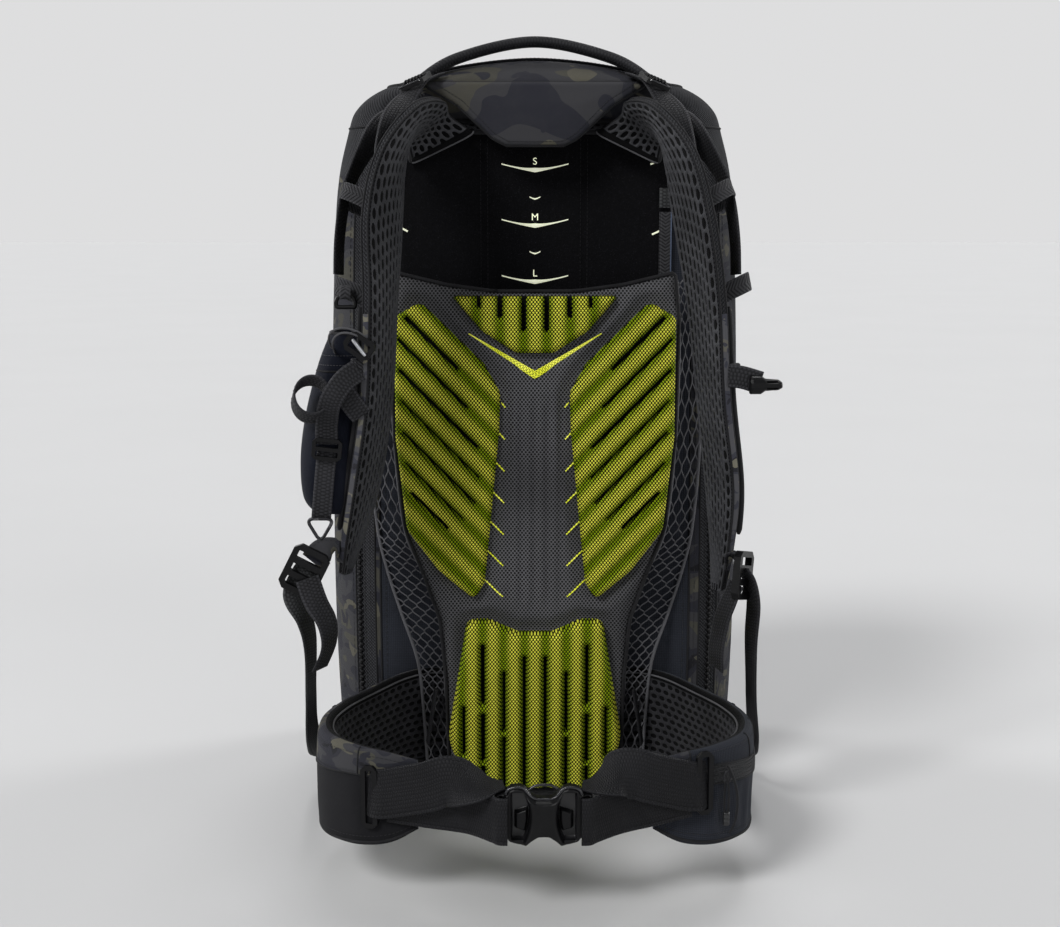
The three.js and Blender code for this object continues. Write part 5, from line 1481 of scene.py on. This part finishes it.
def makeWing(hand):
    side = -1 if hand == "left" else 1
    name = "wing" + hand.title()
    points = wingGrid(side)
    half, edge, step = wing["round"] // 2, wing["edgeSteps"], wing["seamStep"]
    held = np.zeros(points.shape[:2])
    held[:, [0, 1, edge, -1, -edge, half - edge, half, half + edge, step]] = 1
    held[[0, 1, -1, -2]] = 1
    for row in wing["upright"][hand]:
        held[row, :step] = 1
    if side > 0:
        held[:, step: step + wing["zipSteps"] + 1] = 1
    points = swell(points, held, 7, wing["swell"])
    normals = gridNormals(points)
    normals *= np.sign((normals[60, 12] * (points[60, 12] - points[60].mean(0))).sum())
    ring = np.arange(wing["round"])
    outside = np.where(ring < step, 0 if side < 0 else 2, 2)
    marks = np.tile(np.where(ring >= half, 1, outside), (wing["steps"] - 1, 1))
    if side > 0:
        marks[wing["tipFrom"]:, :step] = 0
        marks[slice(*wing["zip"]), step: step + wing["zipSteps"]] = 3
    core = Shape().grid(points, True, True, marks)
    pocket = "slate" if side > 0 else "cover"
    core.make(name + "Pad", ["camoBand", "core", pocket, "greyWeb"], "wing_cloth",
              ["hip_wing_" + hand], 0.75)

    spot, long, wide = faceSpot(points, normals, half + edge, wing["round"] - edge)
    mesh = Shape()
    lattice(mesh, spot, long, wide, wing["cell"], wing["hole"], wing["rise"])
    mesh.make(name + "Mesh", ["wingSpacer"], "wing_cloth")
    rim = Shape()
    on = lambda rows, column, lift: points[rows, column] + normals[rows, column] * lift
    tubes = ((-edge, 0.8, 0), (half + edge, 1.2, 1), (half - edge, 1.1, 1), (step, 0.7, 1))
    for column, radius, mark in tubes:
        rim.tube(on(slice(2, -2), column, 0.3), radius, 7, mark=mark)
    for row in wing["upright"][hand]:
        rim.tube(on(row, slice(1, step + 1), 0.1), 0.7, 6, mark=1)
    rim.make(name + "Rim", ["piping", "dark"], "wing_cloth")
    threads = Shape()
    for column in (edge + 1, step - 1, half - edge - 2):
        threads.stitches(on(slice(4, -4), column, 0.1), normals[4:-4, column], "wing")
    threads.make(name + "Stitches", ["thread"], "wing_cloth")
    if side > 0:
        zips = Shape()
        rows = slice(*wing["zip"])
        for shift in range(wing["zipSteps"] + 1):
            ends = shift in (0, wing["zipSteps"])
            zips.tube(on(rows, step + shift, 0.2), 0.8 if ends else 0.95, 6, mark=int(ends))
        zips.make(name + "Zip", ["thread", "dark"], "zip_pull")


makeWing("left")
makeWing("right")
print("wings padded")


# Webbing: flat bands along their tables, with stitched ends
# a row has its place, and the heading and rise of the band's width in degrees

handle = {
    "rows": [(-112, 30, 620, 90, 0), (-98, 33, 639, 90, 0), (-64, 45, 660, 90, 0), (0, 58, 674.2, 90, 0),
             (64, 45, 660, 90, 0), (98, 33, 639, 90, 0), (112, 30, 620, 90, 0)],
    "half": 11.6, "deep": 4.6,
}
lifterRows = [(84, 24, 641, 0, -28), (98, -4, 632, 0, -28), (112, -27, 612, -20, -12),
              (123, -50, 586, -60, 15), (126, -69, 566, -80, 32), (119, -79, 553, -82, 34)]
tailRows = [(106, 2, 621, 0, -28), (131, -32, 592, -45, 0), (147, -62, 558, -75, 25),
            (153.5, -73, 534, -75, 28), (157, -79, 505, -75, 20), (158, -81, 478, -75, 15)]
bands = {
    "rearStrap": {"width": 18, "node": "rear_handle_strap", "rows": [
        (-104, 62, 634, 90, 0), (-82, 66, 650, 90, 0), (0, 78, 661, 90, 0),
        (82, 66, 650, 90, 0), (104, 62, 634, 90, 0)]},
    "chestWebLeft": {"width": 18, "node": "chest_web_left", "rows": [
        (-139, -118.4, 405, 0, -72), (-150, -123.5, 397, 0, -52), (-161, -122, 381, 0, -28),
        (-166, -111, 362, 0, -6), (-167, -104.5, 344, 0, 0)]},
    "chestTab": {"width": 18, "thick": 3.6, "node": "chest_tab", "rows": [
        (-138, -112, 368, 0, 30), (-146, -115.5, 379, 0, 30), (-153, -118, 390, 0, 30)]},
    "chestWebRight": {"width": 18, "node": "chest_web_right", "rows": [
        (153, -116, 400, 0, 84), (163, -119, 399, 0, 80), (177, -121, 395, 0, 76)]},
    "pouchWeb": {"width": 16, "node": "pouch_web", "rows": [
        (-167, -102.9, 340, 0, 0), (-170, -101.6, 315, 0, 0), (-173, -97.8, 290, 0, 0),
        (-174, -96.6, 282, 0, 0)]},
    "endTabLeft": {"side": -1, "width": 20, "paint": "camoBand", "node": "adjuster_tab_left", "rows": [
        (156, -73, 246, -60, 0), (166, -79, 252, -30, 20), (176, -83, 252, 0, 28), (184, -83.5, 243, 0, 28)]},
    "endTabRight": {"width": 20, "node": "adjuster_tab_right", "rows": [
        (157, -74, 240, -70, 0), (163, -81, 246, -80, 10), (168, -87, 242, -62, 5)]},
    "endWebLeft": {"side": -1, "width": 20, "paint": "greyWeb", "node": "adjuster_web_left", "rows": [
        (185.6, -83.6, 241, 0, 28), (193, -83.5, 230, 0, 28), (199, -82, 214, -20, 20),
        (192, -76, 192, -60, 5), (190, -62, 165, -70, 0), (194, -38, 115, -75, 0), (198, -4, 66, -70, 0),
        (194, 40, 36, -60, 20), (178, 66, 26, -60, 30)]},
    "endWebRight": {"width": 20, "node": "adjuster_web_right", "rows": [
        (170.5, -86, 238, -62, 2), (176.5, -84, 228, -62, 0), (181, -82, 208, -66, 0),
        (182, -66, 170, -70, 0), (187, -40, 115, -75, 0), (194, -4, 66, -70, 0), (192, 40, 36, -60, 20),
        (178, 66, 26, -60, 30)]},
    "endTailLeft": {"side": -1, "width": 20, "node": "adjuster_tail_left", "rows": [
        (187, -93.2, 231, 0, 28), (180, -96, 212, -20, 10), (171, -97, 195, -45, 0), (170, -95, 175, -60, 0),
        (179, -88, 153, -60, 0)]},
    "endTailRight": {"width": 20, "node": "adjuster_tail_right", "rows": [
        (165.5, -90, 226, -62, 0), (160, -90, 212, -62, 0), (155, -84, 195, -62, 0), (152, -74, 168, -62, 0),
        (153, -66, 148, -62, 0)]},
    "beltUpperLeft": {"width": 38, "gather": 0.45, "paint": "belt", "node": "belt_upper_left", "rows": [
        (-129, -199.5, 89, 90, 84), (-124.5, -205.5, 89.3, 90, 83), (-119, -208.8, 90, 90, 82),
        (-112, -211, 91.5, 90, 82), (-84, -219, 99, 90, 80), (-67, -222, 105, 90, 72),
        (-50, -224, 103.5, 90, 34), (-39, -224, 102.3, 90, 14), (-31, -223, 101.9, 90, 5),
        (-24, -222, 101.9, 90, 3)]},
    "beltLowerLeft": {"width": 36.5, "paint": "belt", "node": "belt_lower_left", "rows": [
        (-112, -209, 86, -90, 90), (-80, -214, 83, -90, 90), (-52, -221, 81.5, -90, 90),
        (-34, -236, 81.3, -90, 90), (-28, -242.5, 81.3, -90, 90), (-21, -243.5, 81.3, -90, 90)]},
    "beltUpperRight": {"width": 38, "gather": 0.45, "paint": "belt", "node": "belt_upper_right", "rows": [
        (131.5, -199.5, 95, 90, 84), (127, -205.5, 95.3, 90, 84), (121.5, -208.8, 96, 90, 84),
        (114.5, -211, 97.5, 90, 84), (88, -219, 106, 90, 84), (76.6, -222, 110.7, 90, 78),
        (65, -224, 112, 90, 56), (54, -225, 108, 90, 27), (43, -224, 103, 90, 8), (35, -223, 101.9, 90, 4)]},
    "beltLowerRight": {"width": 36.5, "paint": "belt", "node": "belt_lower_right", "rows": [
        (116, -209, 90, -90, 90), (90, -214, 85, -90, 90), (66, -221, 82, -90, 90), (47, -236, 81.3, -90, 90),
        (41, -242.5, 81.3, -90, 90), (34, -243.5, 81.3, -90, 90)]},
}
for hand, side in (("Left", -1), ("Right", 1)):
    facts = {"side": side, "width": 20}
    bands["lifter" + hand] = {**facts, "node": "load_lifter_" + hand.lower(), "rows": lifterRows}
    shift = 3 if side > 0 else 0  # the right tail hangs a little further out
    rows = [(x + (shift if n > 1 else 0), *rest) for n, (x, *rest) in enumerate(tailRows)]
    bands["lifterTail" + hand] = {**facts, "node": "lifter_tail_" + hand.lower(), "rows": rows}
webThick = 1.8


def makeBand(name, facts):
    path, wide, face = bandPath(facts["rows"], facts.get("side", 1))
    thick = facts.get("thick", webThick)
    narrow = (1 - facts.get("gather", 1)) * ease(np.linspace(0, 1, len(path)), 0.72, 1)
    width = facts["width"] * (1 - narrow)
    shape = Shape().ribbon(path, wide, face, width, thick)
    for edge in (-1, 1):
        for front in (-1, 1):
            line = path + wide * (edge * (width / 2 - 2.6))[:, None] + face * front * thick / 2
            shape.stitches(line[2:-2], face[2:-2] * front, "web", 1)
    shape.make(name, [facts.get("paint", "web"), "thread"], "webbing", [facts["node"]])


def makeHandle():
    path, wide, face = bandPath(handle["rows"], 1, 22)
    u, v = oval(circle(28), 0.8)
    run = lengths(path)
    ends = 1 - 0.12 * np.exp(-((run - run.mean()) / 190) ** 8)
    sideways = (wide * handle["half"])[:, None] * (u[:, None] / ends[:, None, None] * 0.9)
    ring = path[:, None] + sideways + (face * handle["deep"])[:, None] * v[:, None]
    edge = (1 - np.abs(u)) * handle["half"] / 10 + 0.25
    shape = Shape().grid(ring, True, True, 0, edge)
    for column in (3, 11, 17, 25):
        flat = ring[3:-3, column]
        shape.stitches(flat, unit(flat - path[3:-3]), "cloth", 1)
    shape.make("haulHandle", ["web", "thread"], "webbing", ["haul_handle"], 0.8)


for name, facts in bands.items():
    makeBand(name, facts)
makeHandle()
print("webbing laid")


# Keepers, chest rails and sliders on the straps, and the loop of chest webbing

keeper = {"upper": 4.6, "lower": 5.9, "wide": 13, "deep": 16, "high": 15, "wall": 1.6, "sink": 0.9,
          "flat": 0.6, "slant": 0.28}
rail = {"from": 6.1, "to": 8.8, "rim": 0.8, "lift": 8.2, "radius": 2.6}
slider = {"left": 6.7, "right": 6.75, "wide": 10, "deep": 6, "high": 17, "ribs": 6}
chestLoop = {"middle": (-178, -112, 381), "long": 14.1, "high": 15.1, "width": 18, "turn": 52}


def strapAt(hand, place):
    # strapFrame at one place, with the ways across and along the strap
    middle, across, out, pad = (a[0] for a in strapFrame(hand, np.array([place])))
    wide = unit(across)
    return middle, across, out, pad, wide, np.cross(wide, out)


def makeKeeper(hand, level):
    middle, _, out, pad, wide, way = strapAt(hand, keeper[level])
    centre = middle + out * (pad / 2 + 0.35 + keeper["deep"] - keeper["sink"])
    u, v = oval(np.linspace(0, 2 * math.pi, 61), keeper["flat"])
    wall = keeper["wall"] / 2
    path = centre + np.outer(u, wide) * (keeper["wide"] - wall) + np.outer(v, out) * (keeper["deep"] - wall)
    face = unit(path - centre)
    path += np.outer(v, way) * keeper["slant"] * keeper["deep"] * np.sign(way[2])
    shape = Shape().ribbon(path, same(way, 61), face, keeper["high"], keeper["wall"])
    name = "keeper" + level.title() + hand.title()
    shape.make(name, ["elastic"], "elastic", ["keeper_" + level + "_" + hand])


def makeRail(hand):
    middle, across, out, _ = strapFrame(hand, np.linspace(rail["from"], rail["to"], 60))
    path = middle + across * rail["rim"] + out * rail["lift"]
    size = rail["radius"] * np.minimum(1, 0.55 + np.minimum(np.arange(60), np.arange(60)[::-1]) * 0.25)
    Shape().tube(path, size, 12).make("rail" + hand.title(), ["dark"], "rail_sleeve", ["chest_rail_" + hand])
    middle, across, out, _, wide, way = strapAt(hand, slider[hand])
    spot = middle + across * rail["rim"] + out * rail["lift"]
    u, v = oval(circle(32), 0.5)
    step = np.linspace(-1, 1, 61)
    size = 0.93 + 0.07 * np.abs(np.sin(step * math.pi / 2 * slider["ribs"])) - 0.12 * np.abs(step) ** 12
    ring = spot + np.multiply.outer(step * slider["high"] / 2, way)[:, None] + size[:, None, None] * (
        np.outer(u, wide) * slider["wide"] + np.outer(v, out) * slider["deep"])
    shape = Shape().grid(ring, True, True)
    shape.make("slider" + hand.title(), ["elastic"], "buckle_plastic", ["chest_slider_" + hand])


def makeChestLoop():
    turn = math.radians(chestLoop["turn"])
    wide = unit(np.array((0.4 * math.cos(turn), -math.sin(turn), 0.9 * math.cos(turn))))
    angle = np.linspace(0, 2 * math.pi, 73)
    flat = spots(np.cos(angle) * chestLoop["long"], 0, np.sin(angle) * chestLoop["high"])
    path = flat + chestLoop["middle"]
    across = same(wide, 73)
    face = unit(np.cross(across, np.gradient(path, axis=0)))
    shape = Shape().ribbon(path, across, face, chestLoop["width"], webThick)
    for edge in (-1, 1):
        shape.stitches(path + across * edge * 6.5 + unit(flat) * 0.9, unit(flat), "web", 1)
    shape.make("chestLoop", ["web", "thread"], "webbing", ["chest_loop"])


for hand in ("left", "right"):
    makeKeeper(hand, "upper")
    makeKeeper(hand, "lower")
    makeRail(hand)
makeChestLoop()


# Stretch pouch on the left strap with a flap, its wire hook, and the ring under the keeper

pouchKeys = "z x wide deep"
pouch = {
    "rows": table(pouchKeys, (284, -167, 15, 15), (297, -170, 21, 22), (330, -167, 25, 26),
                  (370, -162, 25, 26), (405, -155, 22, 23), (432, -149, 17, 19)),
    "y": -76, "wall": 2,
}
hook = {"corners": [(-186, 282, 4), (-163, 282, 4), (-174.5, 262.5, 4)], "y": -99.6, "radius": 1.45}
ring = {"middle": (-150.3, -102.4, 455.9), "half": 7.6, "radius": 1.7, "tab": 9,
        "loop": [(-150.3, -98.6, 470), (-150.3, -102.6, 468.5), (-150.3, -105.2, 465),
                 (-150.3, -104.6, 460.6), (-150.3, -101, 460)]}
pin = {"from": (-143, -124, 429.5), "to": (-133, -125, 416.5), "radius": 1.6}


def makePouch():
    at = np.linspace(0, len(pouch["rows"]) - 1, 64)
    z, x, wide, deep = (along(pouch["rows"], key, at)[:, None] for key in pouchKeys.split())
    angle = circle(48)
    u, v = oval(angle, 0.9)
    slack = 0.6 * np.sin(3 * angle + at[:, None] * 2.2) * np.sin(at[:, None] / 5 * math.pi)
    skin = lambda inset: spots(x + (wide - inset + slack) * u, pouch["y"] + (deep - inset + slack) * v, z)
    outer, inner = skin(0.4), skin(pouch["wall"])
    inner[0, :, 2] += pouch["wall"]
    body = np.concatenate([outer, inner[::-1]])
    shape = Shape().grid(body, True, True)
    shape.make("strapPouch", ["stretch"], "stretch_cloth", ["strap_pouch"])
    trim = Shape()
    trim.tube(outer[-1] - (0, 0, 0.3), 1.3, 7, True)
    front = [k for k in range(48) if math.sin(angle[k]) < -0.3]
    face = unit(spots(u[front], v[front], 0))
    for row in (51, 54):
        trim.stitches(outer[row][front] + face * 0.2, face, "pouch", 1)
    trim.tube(outer[49][front], 0.9, 6)  # hem of the flap
    trim.make("pouchTrim", ["dark", "piping"], "stretch_cloth")


def makeHook():
    line = roundOutline(hook["corners"], 9)
    path = smooth(spots(line[:, 0], hook["y"], line[:, 1]), 90, True)
    Shape().tube(path, hook["radius"], 10, True).make("wireHook", ["wire"], "hook_metal", ["pouch_hook"])
    angle = circle(48)
    x, y, z = ring["middle"]
    bow = spots(x + ring["half"] * np.cos(angle), y, z + ring["half"] * np.maximum(np.sin(angle), -0.35))
    shape = Shape().tube(bow, ring["radius"], 10, True)
    loop = smooth(ring["loop"], 24)
    across = same((1, 0, 0), 24)
    shape.ribbon(loop, across, unit(np.cross(across, np.gradient(loop, axis=0))), ring["tab"], 1.2, 1)
    shape.make("strapRing", ["plastic", "elastic"], "buckle_plastic")
    size = pin["radius"] * np.array((0.7, 1, 1, 1, 1, 1, 1, 1, 0.7))
    Shape().tube(np.linspace(pin["from"], pin["to"], 9), size, 12).make("clipPin", ["steel"], "hook_metal")


makePouch()
makeHook()
print("pouch and fittings sewn")


# Closed belt buckle: hourglass body between two side frames, wavy top edge, prongs in the gaps

buckle = {
    "x": 6, "back": -228, "middle": 83, "waist": 10.3, "flare": 6.2, "tall": 22,
    # half outline from the middle of the top edge down to the middle of the foot
    "top": [(0, 96.5, 3), (5.5, 96.7, 4), (10, 99, 4), (14.5, 104.5, 3), (18, 106, 3), (23, 105.6, 3),
            (27, 103.6, 2), (28.4, 100.5, 1)],
    "side": [(38, 100, 2), (38, 65.5, 2), (28.4, 64.5, 1)],
    "foot": [(26, 61.5, 2), (19, 59.6, 3), (12.5, 58.7, 3), (8.2, 62.4, 3), (3.7, 65.4, 3), (0, 65.6, 3)],
    # gaps beside the waist, the prongs in them and the slots for the webbing
    "gapTo": 24.6, "gapHigh": (64.5, 101.5), "prongTo": 21.5, "prongAt": 79, "prongHalf": 9.5,
    "slotWide": (30.5, 34.5), "slotHigh": (67.5, 98),
    "lens": [(-11, 101.5), (-6, 104.6), (0, 105.3), (6, 104.8), (11, 101.8)],
}


def makeBuckle():
    half = buckle["top"] + buckle["side"] + buckle["foot"]
    corners = half + [(-x, z, r) for x, z, r in reversed(half)][1:-1]
    outline = roundOutline([(buckle["x"] + x, z, r) for x, z, r in corners], 5)

    def parts(p):
        a, z = np.abs(p[:, 0] - buckle["x"]), p[:, 1]
        waist = buckle["waist"] + buckle["flare"] * ((z - buckle["middle"]) / buckle["tall"]) ** 2
        gap = np.minimum(within(a, waist, buckle["gapTo"]), within(z, *buckle["gapHigh"]))
        tip = buckle["prongHalf"] - np.abs(z - buckle["prongAt"]) - 0.35 * (a - 12)
        prong = np.minimum(within(a, waist + 1.6, buckle["prongTo"]), tip)
        slot = np.minimum(within(a, *buckle["slotWide"]), within(z, *buckle["slotHigh"]))
        return a, waist, gap, prong, slot

    def rise(p, d):
        a, waist, gap, prong, slot = parts(p)
        body = 9.0 * dome(d, 3) + 4.2 * dome(np.maximum(waist - a, 0), 3.5) * ease(d, 0, 4)
        body -= 3.0 * ease(a, 28, 30)
        body = np.where(gap > 0, np.minimum(body, 1.5 + 7.5 * (1 - ease(gap, 0, 0.9))), body)
        body = np.where(prong > 0, np.maximum(body, 1.5 + 5.5 * dome(prong, 1.6)), body)
        return np.where(slot > 0, np.minimum(body, 6 * (1 - ease(slot, 0, 0.8)) + 0.6), body) * (d > 0)

    def mark(p):
        _, _, gap, prong, slot = parts(p)
        return (np.maximum(np.minimum(gap, -prong), slot) > 0.4).astype(int)

    shape = padSheet(Shape(), outline, 0.6, buckle["back"], rise, mark)
    shape.make("beltBuckle", ["plastic", "zip"], "buckle_plastic", ["belt_buckle_socket", "belt_buckle_plug"])
    # the glossy edge tubes are coloured lighter than the body: painted highlight
    edges = Shape()
    deep = buckle["back"] - 7.5
    wave = [(-x, z) for x, z, _ in reversed(buckle["top"])] + [(x, z) for x, z, _ in buckle["top"][1:]]
    edges.tube(smooth([(buckle["x"] + x, deep, z - 0.6) for x, z in wave], 120), 1.15, 8)
    edges.tube(smooth([(buckle["x"] + x, deep + 5.5, z) for x, z in buckle["lens"]], 40), 1.0, 8)
    edges.make("buckleEdges", ["gloss"], "buckle_plastic")


makeBuckle()


# Zip pull of the wing, chest buckle, tabs beside the net, ribs of the lifter buckles

pull = {"x": 146.75, "half": 2.6, "low": 60.5, "tagTop": 72, "top": 100,
        "y": -198.8, "back": -197.4, "thick": 2.8}
chestBuckle = {"outline": [(168, 386, 2), (177, 386, 2), (180.5, 388.6, 2), (191, 389.4, 3), (194, 391.5, 2),
                           (194, 395.5, 2), (191, 397.6, 3), (180.5, 398.4, 2), (177, 401, 2), (168, 401, 2)],
               "back": -121, "thick": 6.4, "middle": 393.5,
               "windowWide": (180.5, 190), "windowOff": (1.6, 3.4)}
sideTabs = {"wide": 9, "rows": [(88, 0.5, 108, 74, 0), (91, -0.5, 90, 74, 0), (94, 0.5, 70, 74, 0),
                                (96, 3.0, 57, 74, 0)]}
grip = {"row": 14, "ribs": 6, "rib": 0.75, "half": 3.4}


def makePull():
    x, y, half, low, high = (pull[key] for key in ("x", "y", "half", "low", "tagTop"))
    corners = ((x - half, low), (x + half, low), (x + half, high), (x - half, high))
    outline = roundOutline([(*corner, 1.5) for corner in corners])

    def ribs(p, d):
        groove = 0.5 * (np.sin(p[:, 1] * 2 * math.pi / 3.6) > 0.2)
        return pull["thick"] * dome(d, 1.2) - groove * ease(d, 0.6, 1.2)

    shape = padSheet(Shape(), outline, 0.45, pull["back"], ribs)
    for side in (-1, 1):
        line = [(x + side * 1.2, y, high - 3), (x + side * 1.7, y, 84),
                (x + side * 0.9, y - 0.4, pull["top"] - 3)]
        shape.tube(smooth(line, 20), 0.85, 7, mark=1)
    angle = circle(28)
    bail = spots(x + 2.6 * np.cos(angle), y - 0.4, pull["top"] + 4.6 * np.sin(angle))
    shape.tube(bail, 0.75, 7, True, 2)
    shape.make("zipPull", ["zip", "dark", "wire"], "zip_pull", ["wing_zip_pull"])


def makeChestBuckle():
    outline = roundOutline(chestBuckle["outline"])

    def rise(p, d):
        off = np.abs(p[:, 1] - chestBuckle["middle"])
        body = chestBuckle["thick"] * dome(d, 2.4) + 1.6 * (1 - ease(off, 1.5, 5))
        window = within(p[:, 0], *chestBuckle["windowWide"])
        window = np.minimum(window, within(off, *chestBuckle["windowOff"]))
        return np.where(window > 0, body - 3.2 * ease(window, 0, 0.5), body) * (d > 0)

    shape = padSheet(Shape(), outline, 0.42, chestBuckle["back"], rise)
    shape.make("chestBuckle", ["plastic"], "buckle_plastic", ["chest_buckle_right"])


def makeTabs():
    tabs = Shape()
    for side in (-1, 1):
        path, wide, face = bandPath(sideTabs["rows"], side, 8)
        tabs.ribbon(path, wide, face, sideTabs["wide"], 2.0)
    tabs.make("sideTabs", ["belt"], "webbing")


def makeGrips():
    # ribbed bar and polished front edge on each lifter buckle; the edge is glossy and also coloured lighter
    # as painted highlight
    shape = Shape()
    for hand, side in (("left", -1), ("right", 1)):
        path, wide, face = (a[grip["row"] - 1: grip["row"] + 2] for a in bandPath(lifterRows, side))
        axes = np.stack([unit(wide[1]), unit(path[2] - path[0]), unit(face[1]) * np.sign(face[1][2])])
        flat = meshSpots(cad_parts["lifter_buckle_" + hand].data) @ axes.T
        low, high = flat.min(0), flat.max(0)
        middle = (low + high) / 2
        bar = spots(np.linspace(low[0] + 2, high[0] - 2, 9), middle[1], high[2] - 0.3)
        shape.tube(bar @ axes, grip["half"] * 0.62, 10, squash=0.6)
        turn = np.linspace(0.2, math.pi - 0.2, 9)
        for a in np.linspace(low[0] + 4, high[0] - 4, grip["ribs"]):
            arch = spots(a, middle[1] + grip["half"] * np.cos(turn), high[2] - 0.6 + 2.2 * np.sin(turn))
            shape.tube(arch @ axes, grip["rib"], 6)
        front = spots(np.linspace(low[0] + 1.5, high[0] - 1.5, 9), high[1] - 0.7, high[2] - 0.5)
        shape.tube(front @ axes, 0.95, 8, mark=1)
    shape.make("lifterGrips", ["dull", "gloss"], "buckle_plastic")


makePull()
makeChestBuckle()
makeTabs()
makeGrips()


# Moulded parts that keep their solids get soft edges and plastic

moulded = {"lifter_buckle_left": ("dull", 0.6), "lifter_buckle_right": ("dull", 0.6),
           "adjuster_lock_left": ("plastic", 0.8), "adjuster_lock_right": ("plastic", 0.8),
           "tip_ring_left": ("plastic", 1.3), "tip_ring_right": ("plastic", 1.3),
           "chest_clip_left": ("plastic", 0.9), "pouch_slide": ("plastic", 0.8)}
for name, (paint, soft) in moulded.items():
    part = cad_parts[name]
    part.data.materials.clear()
    part.data.materials.append(finishes[paint])
    edge = part.modifiers.new("softEdge", "BEVEL")
    edge.width, edge.segments, edge.limit_method, edge.angle_limit = soft / 1000, 4, "ANGLE", math.radians(28)

print("pieces finished")
